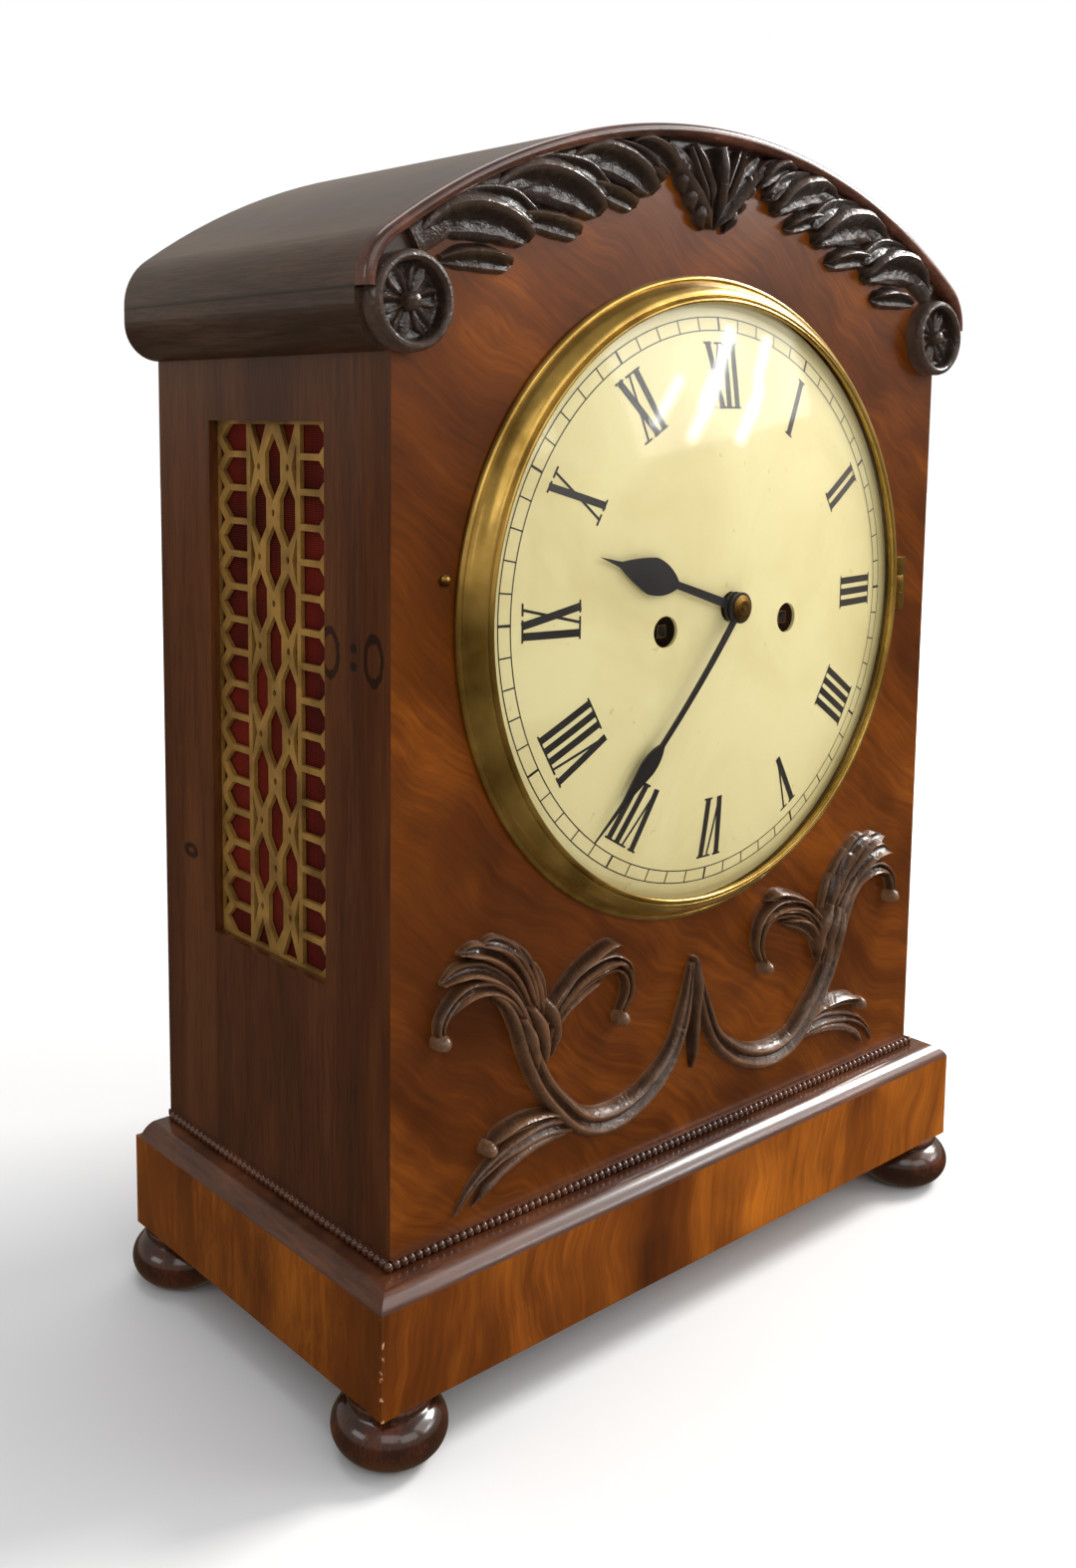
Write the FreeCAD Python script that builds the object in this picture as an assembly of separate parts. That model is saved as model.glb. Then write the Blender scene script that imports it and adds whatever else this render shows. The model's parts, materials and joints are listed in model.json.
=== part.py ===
"""Round-dial bracket clock: arched case, hinged bezel and rear door, twin fusee striking movement.

Millimetres. +Z is up and the dial faces -Y. The origin lies under the middle of the clock's box,
on the surface that the feet stand on. "out" is a distance in front of the front panel's face,
"depth" is a distance behind it. Clock angles grow clockwise from twelve, seen from the front.
"""
import FreeCAD, Part
import os
from math import acos, asin, atan2, cos, degrees, hypot, pi, radians, sin, sqrt

V = FreeCAD.Vector

# ------------------------------------------------------------------ driving sizes: case
case_width = 280.0
case_depth = 140.0
side_thickness = 12.0
front_thickness = 15.0
floor_thickness = 10.0
case_height = 293.0             # carcass sides, from the plinth to the underside of the hood

foot_height = 20.5
foot_radius = 19.0
foot_neck_radius = 13.5
foot_pad_radius = 11.0
foot_bulge = 2.3                # roundness of the belly above and below its widest place
foot_inset = 12.5               # centre of a foot in from the plinth's faces

plinth_height = 35.0
plinth_overhang = 13.3          # beyond the carcass at the front and the sides
plinth_back_overhang = 3.2
plinth_wall = 29.0
ovolo_height = 5.0
ovolo_ledge = 4.0               # flat left on top of the ovolo, where the bead strip lies
bead_size = 3.0

hood_overhang = 13.3
hood_height = 18.0              # from the carcass's top to the springing of the arch
roof_thickness = 14.0
roof_rise = 62.5                # springing to crown, outside
shoulder_radius = 20.0
shoulder_rise = 1.0             # straight stretch of the hood's side above the springing
fillet_width = 4.5
fillet_depth = 6.0

# ------------------------------------------------------------------ driving sizes: dial and bezel
dial_radius = 108.0
dial_thickness = 1.2
dial_crown = 14.2               # centre of the dial in front of the panel
dial_edge = 3.2                 # edge of the dial in front of the panel
dial_bore = 5.4                 # hole for the hands' pipes
dial_post_radius = 2.2
dial_post_spread_x = 50.0
dial_post_spread_z = 58.0
dial_rings = 4                  # flat bands that the dial's curve is made of
panel_ledge = 10.0              # how far the dial laps over the panel's hole
bezel_reach = 7.5               # how far the bezel stands outside the dial
bezel_lap = 2.0                 # how far the bezel's ring covers the dial's edge
bezel_height = 9.2
bezel_wall = 2.0
bezel_edge = 2.2                # height of the bezel's outer edge
bezel_lip = 1.6                 # the ring round the sight, radially
glass_thickness = 1.8
glass_rise = 16.0
glass_rings = 4
glass_seat = 5.0                # underside of the glass's rim in front of the panel
glass_rebate = 2.6              # radial room for the glass's rim behind the bezel's ring
winding_x = 32.5
winding_drop = 6.5
winding_hole_radius = 5.5
winding_square = 4.4
winding_square_length = 10.0
winding_square_recess = 3.0     # end of the square below the dial's crown
catch_rise = 15.5
catch_gap = 4.0
catch_radius, catch_height = 1.9, 2.3

# ------------------------------------------------------------------ driving sizes: carving
leaf_half_width = 27.0
leaf_drop = 33.0                # tip of the centre leaf below the crown
bezel_gap = 17.0                # from the centre leaf's tip to the bezel
leaf_rib_width = 7.0
lobe_width = 16.5
lobe_depth = 8.2
lobe_inset = 24.0               # tip of a lobe below the arch's edge
carving_ground = 4.0
rosette_radius = 15.0
rosette_inset = 17.8            # centre of a rosette in from the hood's side
rosette_drop = 3.5              # and below the springing
rosette_depth = 7.0
rosette_petals = 6
scroll_thick = 5.5
scroll_base_gap = 2.5           # from the beads to the lowest leaf
scroll_top_gap = 16.0           # from the spear to the bezel

# ------------------------------------------------------------------ driving sizes: fret and door
fret_width = 70.0
fret_below = 88.0               # from the plinth to the fret's opening
fret_above = 21.0               # from the opening to the hood
fret_thickness = 1.6
fret_recess = 3.6
fret_margin = 3.0
fret_bar = 2.2
fret_rows = 16
fret_periods = 6
fret_inner_rail = 15.2
fret_eye_radius = 0.9
cloth_thickness = 1.0
door_thickness = 12.0
door_gap = 0.5
door_stile = 24.0
door_glass_thickness = 2.5
door_glass_lap = 5.0
door_hinge_inset = 45.0         # middle of a hinge from the door's end
knob_radius = 5.4
knob_neck = 2.4
knob_length = 8.2
rose_reach = 1.6                # round plate under the knob, beyond the knob's radius
back_board_thickness = 12.0
knuckle_radius = 2.2
knuckle_length = 7.0
hinge_pin_radius = 0.9
hinge_leaf_width = 9.0
leaf_thickness = 1.2
leaf_gap = 0.4

# ------------------------------------------------------------------ driving sizes: movement
plate_thickness = 3.0
plate_width = 132.0
plate_below = 90.0              # lower edge of the plates below the dial's centre
plate_above = 72.0
front_plate_depth = 24.0
plate_gap = 48.0
pillar_radius = 4.0
pillar_foot_x, pillar_foot_drop = 58.0, 82.0
pillar_head_x, pillar_head_rise = 46.0, 64.0
pivot_radius = 0.7
arbor_radius = 0.85
thick_arbor_radius = 1.4
barrel_arbor_radius = 3.0
winding_arbor_radius = 2.6
winding_bearing_radius = 2.4
pivot_clearance = 0.05
end_shake = 0.2
seat_thickness = 12.0
seat_overhang = 3.0
motion_distance = 20.0          # centre arbor to the minute wheel's stud
pipe_radius, pipe_wall = 2.4, 0.9
cannon_pipe_radius = 1.7
stud_radius = 0.8
stud_shoulder_radius = 2.5
motion_thickness = 1.6
pinion_lead = 2.0               # hour pinion in front of the hour wheel
hour_wheel_depth = 10.0         # in front of which the hour wheel runs, behind the panel's face
cannon_depth = 17.5

# ------------------------------------------------------------------ driving sizes: trains
centre_module, third_module = 0.55, 0.50
strike_module, pin_module, gather_module, warn_module = 0.92, 0.60, 0.55, 0.50
third_x = 8.0                   # third arbor to the right of the centre line
barrel_x, barrel_drop, barrel_radius = 36.0, 59.0, 23.5
barrel_front_gap, barrel_back_gap = 4.0, 10.5
barrel_flange, barrel_flange_width = 1.0, 2.0
fusee_small, fusee_large = 9.0, 21.0
fusee_swell = 1.6               # how far the fusee's flank bulges
fusee_front_gap, fusee_back_gap = 6.0, 19.0
line_radius = 0.6
line_station = 18.0
# stations are distances behind the front plate's rear face
great_station, great_thickness = 39.0, 2.4
great_pinion_station, great_pinion_length = 36.0, 9.0
centre_station, wheel_thickness = 9.0, 2.0
third_pinion_station, pinion_length = 7.0, 6.0
third_station = 19.0
escape_pinion_station = 17.0
escape_station, thin_wheel = 30.0, 1.5
escape_radius, escape_tooth = 14.0, 2.2
strike_station = 31.0
strike_pinion_station, strike_pinion_length = 29.0, 7.0
pin_station = 17.0
gather_pinion_station = 15.0
gather_station = 23.5
warn_pinion_station, thin_pinion_length = 21.5, 5.5
warn_station = 35.5
fly_pinion_station = 33.5
fly_station, fly_length, fly_reach, fly_thickness = 7.0, 13.0, 8.0, 0.8
hub_radius, spoke_width = 4.0, 2.4
rim_width = 3.2                 # a crossed wheel's rim, inwards from its pitch circle
pin_circle = 10.8
pin_radius = 0.9
pin_length = 4.0
tail_gap = 0.4                  # the hammer's tail ends this far outside the path of the pins
tail_station, tail_thickness = 13.5, 2.5
hammer_x, hammer_rise = 58.0, 30.0
hammer_head_radius, hammer_head_length = 3.6, 9.0
hammer_gap = 1.0                # from the bell's lip to the head at rest
hammer_stem_radius = 1.1

# ------------------------------------------------------------------ driving sizes: pendulum and bell
pallet_gap = 1.15               # pallets stand clear of the escape wheel's tips by this much
pallet_thickness = 4.0
pallet_hub_radius = 3.6
pallet_arm = 1.5
claw_out, claw_in = 2.0, 1.6
collet_radius, collet_length = 2.6, 3.0
crutch_length = 62.0
crutch_width, crutch_thickness = 2.4, 1.6
collet_stand, crutch_stand = 4.5, 5.2       # front faces of collet and crutch behind the back plate
pallet_arbor_tail = 1.2         # arbor beyond the crutch
fork_height, fork_prong, fork_half_gap = 2.4, 1.4, 1.9
pendulum_offset = 12.0          # pendulum rod behind the back plate
pendulum_radius = 1.5
pendulum_clear = 22.4           # rating nut above the case's floor
suspension_drop = 12.0
suspension_width, suspension_thickness = 6.0, 0.24
chop_width, chop_height, chop_thickness = 8.0, 5.0, 2.4
bob_radius = 22.0
bob_thickness = 11.0
bob_edge = 1.2
nut_radius, nut_height = 5.0, 4.0
nut_gap = 0.2
rod_tail = 9.8                  # threaded end below the rating nut
cock_spread, cock_foot, cock_thickness = 13.0, 7.0, 2.4
cock_reach = 8.8
cock_below, cock_above, cock_chin = 4.0, 6.0, 4.0
bell_radius = 30.0
bell_height = 19.0
bell_wall = 1.8
bell_boss, bell_bore = 4.6, 2.0
bell_x = -24.0
bell_station = 20.0
bell_rise = 13.0                # the bell's mouth above the plates
bell_strap_width, bell_strap = 10.0, 2.0
bell_spacer = 3.0
bell_nut_height = 3.2
strike_rise = 3.0               # the hammer's middle above the bell's mouth
bell_strap_foot = 22.0

# ------------------------------------------------------------------ driving sizes: hands
minutes_shown = 36.2            # the hands stand at twenty-four minutes to ten
hours_shown = 9.0 + minutes_shown / 60.0
hand_thickness = 0.9
hand_lift = 1.6                 # hour hand over the dial at the centre
hand_step = 2.4                 # minute hand over the hour hand
tip_lift = 1.15                 # a hand's tip over the dial
hour_length, hour_bulb, hour_bulb_half, hour_stem = 66.0, 43.0, 6.4, 31.0
minute_length, minute_leaf, minute_leaf_half, minute_stem = 97.0, 66.5, 3.4, 57.0
boss_radius = 5.5
collet_reach, collet_step, collet_height = 4.6, 0.5, 1.2

# ------------------------------------------------------------------ clearances
seat_gap = 0.3
running_gap = 0.05

# ------------------------------------------------------------------ derived places
glass_reach = glass_seat + glass_thickness + glass_rise
rear_reach = case_depth + plinth_back_overhang - foot_inset + foot_radius
front_reach = max(glass_reach, plinth_overhang - foot_inset + foot_radius)
face_y = (front_reach - rear_reach) / 2.0
half_width = case_width / 2.0
plinth_top = foot_height + plinth_height
hood_base = plinth_top + case_height
springing = hood_base + hood_height
crown = springing + roof_rise
hood_half = half_width + hood_overhang
inner_half = half_width - side_thickness
floor_top = plinth_top + floor_thickness
shoulder_x = hood_half - shoulder_radius
shoulder_z = springing + shoulder_rise
shoulder_drop = roof_rise - shoulder_rise
crown_radius = ((shoulder_x ** 2 + shoulder_drop ** 2 - shoulder_radius ** 2)
                / (2 * (shoulder_drop - shoulder_radius)))
bezel_radius = dial_radius + bezel_reach
bezel_sight_radius = dial_radius - bezel_lap
panel_hole_radius = dial_radius - panel_ledge
dial_height = crown - leaf_drop - bezel_gap - bezel_radius
rosette_x = hood_half - rosette_inset
rosette_z = springing - rosette_drop
fret_height = case_height - fret_below - fret_above


def out(distance):
    """Y of a plane this far in front of the panel's face."""
    return face_y - distance


def depth(distance):
    """Y of a plane this far behind the panel's face."""
    return face_y + distance


# ------------------------------------------------------------------ solids
def box(x0, x1, y0, y1, z0, z1):
    return Part.makeBox(x1 - x0, y1 - y0, z1 - z0, V(x0, y0, z0))


def rod(radius, x, z, y0, y1):
    """Cylinder along Y."""
    return Part.makeCylinder(radius, y1 - y0, V(x, y0, z), V(0, 1, 0))


def post(radius, x, y, z0, z1):
    """Cylinder along Z."""
    return Part.makeCylinder(radius, z1 - z0, V(x, y, z0), V(0, 0, 1))


def wire(points, place):
    """Closed wire. A point is (u, v), or ((u, v), (u, v)) for an arc through the first to the second."""
    first = points[0]
    here = place(*first)
    edges = []
    for item in points[1:] + [first]:
        if isinstance(item[0], tuple):
            middle, end = place(*item[0]), place(*item[1])
            edges.append(Part.Arc(here, middle, end).toShape())
        else:
            end = place(*item)
            if here.distanceToPoint(end) < 1e-6:
                continue
            edges.append(Part.LineSegment(here, end).toShape())
        here = end
    return Part.Wire(edges)


def slab(points, y0, y1):
    """Outline in X and Z, extruded from y0 to y1."""
    face = Part.Face(wire(points, lambda x, z: V(x, y0, z)))
    return face.extrude(V(0, y1 - y0, 0))


def bar_x(points, x0, x1):
    """Outline in Y and Z, extruded from x0 to x1."""
    face = Part.Face(wire(points, lambda y, z: V(x0, y, z)))
    return face.extrude(V(x1 - x0, 0, 0))


def turned(points, x, z):
    """Outline in radius and Y, turned about the line along Y through x, z."""
    face = Part.Face(wire(points, lambda r, y: V(x + r, y, z)))
    return face.revolve(V(x, 0, z), V(0, 1, 0), 360)


def turned_up(points, x, y):
    """Outline in radius and Z, turned about the vertical through x, y."""
    face = Part.Face(wire(points, lambda r, z: V(x + r, y, z)))
    return face.revolve(V(x, y, 0), V(0, 0, 1), 360)


def fuse(shapes):
    result = shapes[0]
    for shape in shapes[1:]:
        result = result.fuse(shape)
    return result.removeSplitter()


def cut(shape, tools):
    for tool in tools:
        shape = shape.cut(tool)
    return shape


def bend(start, end, rise, steps):
    """Points along the arc from start to end that bulges by rise to the left; start is left out."""
    du, dv = end[0] - start[0], end[1] - start[1]
    chord = hypot(du, dv)
    radius = (chord ** 2 / 4 + rise ** 2) / (2 * abs(rise))
    half = 2 * atan2(abs(rise), chord / 2)
    points = []
    for k in range(1, steps + 1):
        swing = half * (2 * k / steps - 1)
        along = 0.5 + radius * sin(swing) / chord
        lift = (radius * cos(swing) - radius * cos(half)) / chord * (1 if rise > 0 else -1)
        points.append((start[0] + along * du - lift * dv, start[1] + along * dv + lift * du))
    return points


def arc_middle(centre, radius, angle):
    return (centre[0] + radius * cos(angle), centre[1] + radius * sin(angle))


def save(name, shape):
    shape.exportStep("parts/" + name + ".step")
    kinds = "" if shape.isValid() else "  INVALID"
    print(f"{name:28s} solids {len(shape.Solids):3d} volume {shape.Volume:12.1f}{kinds}")


# ------------------------------------------------------------------ feet and plinth
def make_foot(x, y):
    belly = 0.47 * foot_height
    neck = 0.86 * foot_height
    lower, upper = (foot_pad_radius, 0), (foot_neck_radius, neck)
    side = (foot_radius, belly)
    profile = [(0, 0), lower] + bend(lower, side, -foot_bulge, 3) + bend(side, upper, -foot_bulge, 3)
    return turned_up(profile + [(foot_neck_radius, foot_height), (0, foot_height)], x, y)


def make_feet():
    reach_x = half_width + plinth_overhang - foot_inset
    front_y = out(plinth_overhang - foot_inset)
    rear_y = depth(case_depth + plinth_back_overhang - foot_inset)
    feet = [make_foot(x, y) for x in (-reach_x, reach_x) for y in (front_y, rear_y)]
    save("bun_feet", Part.makeCompound(feet))


def three_sided(reach, run, z0, z1, ledge, back):
    """Moulding round the front and both sides, its outer edge rounded, mitred at the corners."""
    middle = arc_middle((0, 0), 1.0, pi / 4)
    rise = z1 - z0
    far, near = half_width + reach, half_width + ledge
    bend_x = near + run * middle[0]
    bend_z = z0 + rise * middle[1]
    across = slab([(-far, z0), (far, z0), ((bend_x, bend_z), (near, z1)), (-near, z1),
                   ((-bend_x, bend_z), (-far, z0))], out(reach), back)
    front = bar_x([(back, z0), (out(reach), z0),
                   ((out(ledge + run * middle[0]), bend_z), (out(ledge), z1)), (back, z1)], -far, far)
    carcass = box(-half_width, half_width, depth(0), back + 1, z0 - 1, z1 + 1)
    return across.common(front).cut(carcass)


def make_base():
    far = half_width + plinth_overhang
    back = depth(case_depth + plinth_back_overhang)
    shell = box(-far, far, out(plinth_overhang), back, foot_height, plinth_top)
    hollow = box(-far + plinth_wall, far - plinth_wall, out(plinth_overhang) + plinth_wall,
                 back - plinth_wall, foot_height - 1, plinth_top + 1)
    save("plinth", shell.cut(hollow))
    run = plinth_overhang - ovolo_ledge
    ovolo_top = plinth_top + ovolo_height
    ovolo_back = depth(case_depth)
    save("plinth_ovolo", three_sided(plinth_overhang, run, plinth_top, ovolo_top, ovolo_ledge, ovolo_back))
    bead_run = 0.8 * bead_size
    bead = three_sided(bead_size, bead_run, ovolo_top, ovolo_top + bead_size, bead_size - bead_run, ovolo_back)
    save("bead_moulding", bead)
    save("case_floor", box(-inner_half, inner_half, depth(front_thickness), depth(case_depth),
                           plinth_top, floor_top))


# ------------------------------------------------------------------ arched hood
def arch_path(offset, half, foot):
    """Outline points of the arch from right foot over the crown to left foot, moved inwards by offset."""
    big = crown_radius - offset
    small = shoulder_radius - offset
    centre_z = crown - crown_radius
    turn = atan2(shoulder_z - centre_z, shoulder_x)
    tangent = arc_middle((0, centre_z), big, turn)
    shoulder = arc_middle((shoulder_x, shoulder_z), small, turn / 2)
    return [(half, foot), (half, shoulder_z), (shoulder, tangent),
            ((0, centre_z + big), (-tangent[0], tangent[1])),
            ((-shoulder[0], shoulder[1]), (-half, shoulder_z)), (-half, foot)]


def make_hood():
    outer = arch_path(0, hood_half, springing)
    inner = arch_path(roof_thickness, hood_half - roof_thickness, springing)
    shell = slab(outer, depth(0), depth(case_depth))
    shell = shell.cut(slab(inner, depth(0) - 1, depth(case_depth) + 1))
    save("roof_shell", shell)
    base, top = hood_base, springing
    round_off = arc_middle((half_width, base + hood_overhang), hood_overhang, -pi / 4)
    mouldings = []
    for side in (-1, 1):
        profile = [(side * half_width, base), ((side * round_off[0], round_off[1]), (side * hood_half, base + hood_overhang)),
                   (side * hood_half, top), (side * half_width, top)]
        mouldings.append(slab(profile, depth(0), depth(case_depth)))
    save("hood_mouldings", Part.makeCompound(mouldings))
    roll = slab(outer, out(fillet_depth), out(0))
    gap = arch_path(fillet_width, hood_half - fillet_width, springing - 1)
    roll = roll.cut(slab(gap, out(fillet_depth) - 1, out(0) + 1))
    notches = [rod(rosette_radius + seat_gap, side * rosette_x, rosette_z, out(30), out(0) + 1) for side in (-1, 1)]
    save("arch_fillet", cut(roll, notches))


def make_carcass():
    inner = arch_path(roof_thickness, hood_half - roof_thickness, springing)
    hole = rod(panel_hole_radius, 0, dial_height, depth(0) - 1, depth(front_thickness) + 1)
    lower = box(-half_width, half_width, depth(0), depth(front_thickness), plinth_top, springing)
    upper = slab(inner, depth(0), depth(front_thickness))
    save("front_panel", fuse([lower, upper]).cut(hole))
    for name, side in (("left", -1), ("right", 1)):
        x0, x1 = sorted((side * half_width, side * inner_half))
        panel = box(x0, x1, depth(front_thickness), depth(case_depth), plinth_top, springing)
        low, high = fret_span()
        middle = depth(case_depth / 2)
        sight = box(x0 - 1, x1 + 1, middle - fret_width / 2, middle + fret_width / 2, low, high)
        edge = fret_margin
        r0, r1 = sorted((side * (half_width - fret_recess), side * (inner_half - 1)))
        rebate = box(r0, r1, middle - fret_width / 2 - edge, middle + fret_width / 2 + edge,
                     low - edge, high + edge)
        save("side_panel_" + name, cut(panel, [sight, rebate]))
    back0, back1 = depth(case_depth - back_board_thickness), depth(case_depth)
    arch = slab(inner, back0, back1)
    rail = box(-inner_half, inner_half, back0, back1, hood_base, springing)
    save("back_arch_board", fuse([arch, rail]))


# ------------------------------------------------------------------ side frets
def fret_span():
    return plinth_top + fret_below, hood_base - fret_above


def lens(u, v, half_u, half_v):
    """Pointed oval whose sides run upright about its middle and then in to the tips."""
    near, far = half_u, 0.42 * half_v
    return [(u, v - half_v), (u + near, v - far), (u + near, v + far),
            (u, v + half_v), (u - near, v + far), (u - near, v - far)]


def fret_holes():
    """Openings of the fret in (u, v): u across from its middle, v up from its lower edge."""
    holes = []
    row = fret_height / fret_rows
    half_bar = fret_bar / 2
    tip = fret_width / 2
    rail = fret_inner_rail + half_bar
    shoulder = tip - 0.42 * (tip - rail)
    for side in (-1, 1):
        for k in range(fret_rows):
            low, high = k * row + half_bar, (k + 1) * row - half_bar
            middle = (low + high) / 2
            holes.append([(side * rail, low), (side * shoulder, low), (side * (tip - 1.4 * fret_bar), middle),
                          (side * shoulder, high), (side * rail, high)])
        for k in range(1, fret_rows):
            reach = row / 2 - half_bar
            holes.append([(side * tip, k * row - reach), (side * (shoulder + 1.6 * fret_bar), k * row),
                          (side * tip, k * row + reach)])
    period = fret_height / fret_periods
    inner = fret_inner_rail - half_bar
    column = inner * 0.62                       # middle of an outer column of ovals
    wide = column / 2 + fret_bar * 0.1
    tall = period / 2 - 1.8 * fret_bar
    for k in range(fret_periods):
        middle = (k + 0.5) * period
        holes.append(lens(0, middle, wide, tall))
        for side in (-1, 1):
            eye = fret_eye_radius
            holes.append(lens(side * column, middle, eye, 1.6 * eye))
            slit = column + eye + fret_bar * 0.7
            reach = 0.72 * tall
            holes.append([(side * inner, middle - reach), (side * slit, middle), (side * inner, middle + reach)])
    for k in range(1, fret_periods):
        holes.append(lens(0, k * period, fret_eye_radius, 1.6 * fret_eye_radius))
        for side in (-1, 1):
            holes.append(lens(side * column, k * period, wide, tall))
    for low, end in ((half_bar, tall), (fret_height - half_bar, fret_height - tall)):
        for side in (-1, 1):
            holes.append([(side * (column - wide), low), (side * (column + wide), low), (side * column, end)])
    return holes


def make_frets():
    low, high = fret_span()
    middle = depth(case_depth / 2)
    reach = fret_margin - seat_gap
    cloths = []
    for name, side in (("left", -1), ("right", 1)):
        face_x = side * (half_width - fret_recess)
        back_x = face_x - side * fret_thickness
        x0, x1 = sorted((face_x, back_x))
        outline = [(middle - fret_width / 2 - reach, low - reach), (middle + fret_width / 2 + reach, low - reach),
                   (middle + fret_width / 2 + reach, high + reach), (middle - fret_width / 2 - reach, high + reach)]
        place = lambda y, z: V(x0, y, z)
        wires = [wire(outline, place)]
        for hole in fret_holes():
            wires.append(wire([(middle + u, low + v) for u, v in hole], place))
        face = Part.makeFace(wires, "Part::FaceMakerBullseye")
        save("side_fret_" + name, face.extrude(V(x1 - x0, 0, 0)))
        c0, c1 = sorted((back_x, back_x - side * cloth_thickness))
        cloths.append(box(c0, c1, middle - fret_width / 2 - reach, middle + fret_width / 2 + reach,
                          low - reach, high + reach))
    save("fret_cloths", Part.makeCompound(cloths))


# ------------------------------------------------------------------ carvings
def leaf(root, tip, width, thick, lift=0.0):
    """Pointed leaf from root to tip, its outer face lying thick + lift in front of the panel."""
    dx, dz = tip[0] - root[0], tip[1] - root[1]
    length = hypot(dx, dz)
    nx, nz = -dz / length * width / 2, dx / length * width / 2
    mx, mz = root[0] + 0.55 * dx, root[1] + 0.55 * dz
    return slab([root, ((mx + nx, mz + nz), tip), ((mx - nx, mz - nz), root)], out(thick), out(lift))


def ribbon(points, widths, thick):
    """Curved strip of changing width along a centre line of an odd count of points, in arcs of two steps."""
    left, right = [], []
    count = len(points)
    for k, (x, z) in enumerate(points):
        before, after = points[max(k - 1, 0)], points[min(k + 1, count - 1)]
        dx, dz = after[0] - before[0], after[1] - before[1]
        length = hypot(dx, dz)
        share = k / (count - 1) * (len(widths) - 1)
        j = min(int(share), len(widths) - 2)
        half = (widths[j] + (widths[j + 1] - widths[j]) * (share - j)) / 2
        left.append((x - dz / length * half, z + dx / length * half))
        right.append((x + dz / length * half, z - dx / length * half))
    there = [left[0]] + list(zip(left[1::2], left[2::2]))
    back = [right[-1]] + list(zip(right[-2::-2], right[-3::-2]))
    return slab(there + back, out(thick), out(0))


def on_arch(share, inset):
    """Point below the arch's edge: share of the hood's half width to the right, and how far inside the edge."""
    angle = asin(share * hood_half / crown_radius)
    radius = crown_radius - inset
    return (radius * sin(angle), crown - crown_radius + radius * cos(angle))


lobe_shares = ((0.887, 0.640), (0.690, 0.412), (0.470, 0.228), (0.294, 0.170))     # root and tip of each lobe
# a lobe's two blades: share of the way from root to tip, and of the way down to the lobe's inset
lobe_line = ((0, 0.15), (0.3, 0.26), (0.6, 0.5), (0.85, 0.78), (1, 1))
under_line = ((0.1, 0.5), (0.45, 0.78), (0.75, 1.12))


def make_arch_carving():
    carvings = [make_centre_leaf()]
    lap = fillet_width + carving_ground
    for side in (-1, 1):
        lobes = []
        for k, (root, tip) in enumerate(lobe_shares):
            shrink = 1.0 - 0.09 * k
            drop = (lobe_inset - fillet_width) * shrink
            wide, thick = lobe_width * shrink, lobe_depth * shrink
            over, under = [[on_arch(side * (root + (tip - root) * t), fillet_width + drop * u) for t, u in line]
                           for line in (lobe_line, under_line)]
            lobes.append(ribbon(over, [wide * w for w in (0.4, 0.9, 1.0, 0.75, 0.12)], thick))
            lobes.append(ribbon(under, [wide * w for w in (0.3, 0.5, 0.1)], 0.75 * thick))
        outer, inner = lobe_shares[0][0], lobe_shares[-1][1]
        half_way = (outer + inner) / 2
        ground = slab([on_arch(side * outer, fillet_width),
                       (on_arch(side * half_way, fillet_width), on_arch(side * inner, fillet_width)),
                       on_arch(side * inner, lap), (on_arch(side * half_way, lap), on_arch(side * outer, lap))],
                      out(carving_ground), out(0))
        deep = out(2 * lobe_depth)
        keep = slab(arch_path(fillet_width, hood_half - fillet_width, hood_base), deep, out(0))
        carving = fuse([ground] + lobes).common(keep)
        clear = rod(rosette_radius + seat_gap, side * rosette_x, rosette_z, deep, out(0) + 1)
        centre_gap = slab(centre_outline(seat_gap), deep, out(0) + 1)
        carvings.append(cut(carving, [clear, centre_gap]))
    save("arch_carvings", Part.makeCompound(carvings))


def centre_outline(grow):
    spread = leaf_half_width / hood_half
    left, right = on_arch(-spread, fillet_width), on_arch(spread, fillet_width)
    tip = (0, crown - leaf_drop - grow)
    waist = crown - 0.62 * leaf_drop
    return [(left[0] - grow, left[1]), ((0, crown - fillet_width), (right[0] + grow, right[1])),
            ((leaf_half_width * 0.42 + grow, waist), tip),
            ((-leaf_half_width * 0.42 - grow, waist), (left[0] - grow, left[1]))]


def make_centre_leaf():
    body = slab(centre_outline(0), out(0.72 * lobe_depth), out(0))
    low, high = crown - leaf_drop, crown - fillet_width
    ribs = [leaf((0, low), (0, high - 1.0), 0.12 * leaf_half_width * 2, lobe_depth)]
    for side in (-1, 1):
        foot, head = (side * 2.0, low + 3.0), (side * 0.72 * leaf_half_width, high - 3.0)
        ribs.append(leaf(foot, head, leaf_rib_width, 0.9 * lobe_depth))
    return fuse([body] + ribs)


def petal(centre, angle, near, far, width, thick):
    """Flat petal between two radii, widest two thirds of the way out."""
    wide = near + 0.62 * (far - near)

    def at(r, side):
        return (centre[0] + r * cos(angle) - side * sin(angle), centre[1] + r * sin(angle) + side * cos(angle))

    return slab([at(near, 0), at(wide, -width / 2), at(far, -width / 4), at(far, width / 4), at(wide, width / 2)],
                out(thick), out(0))


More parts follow.
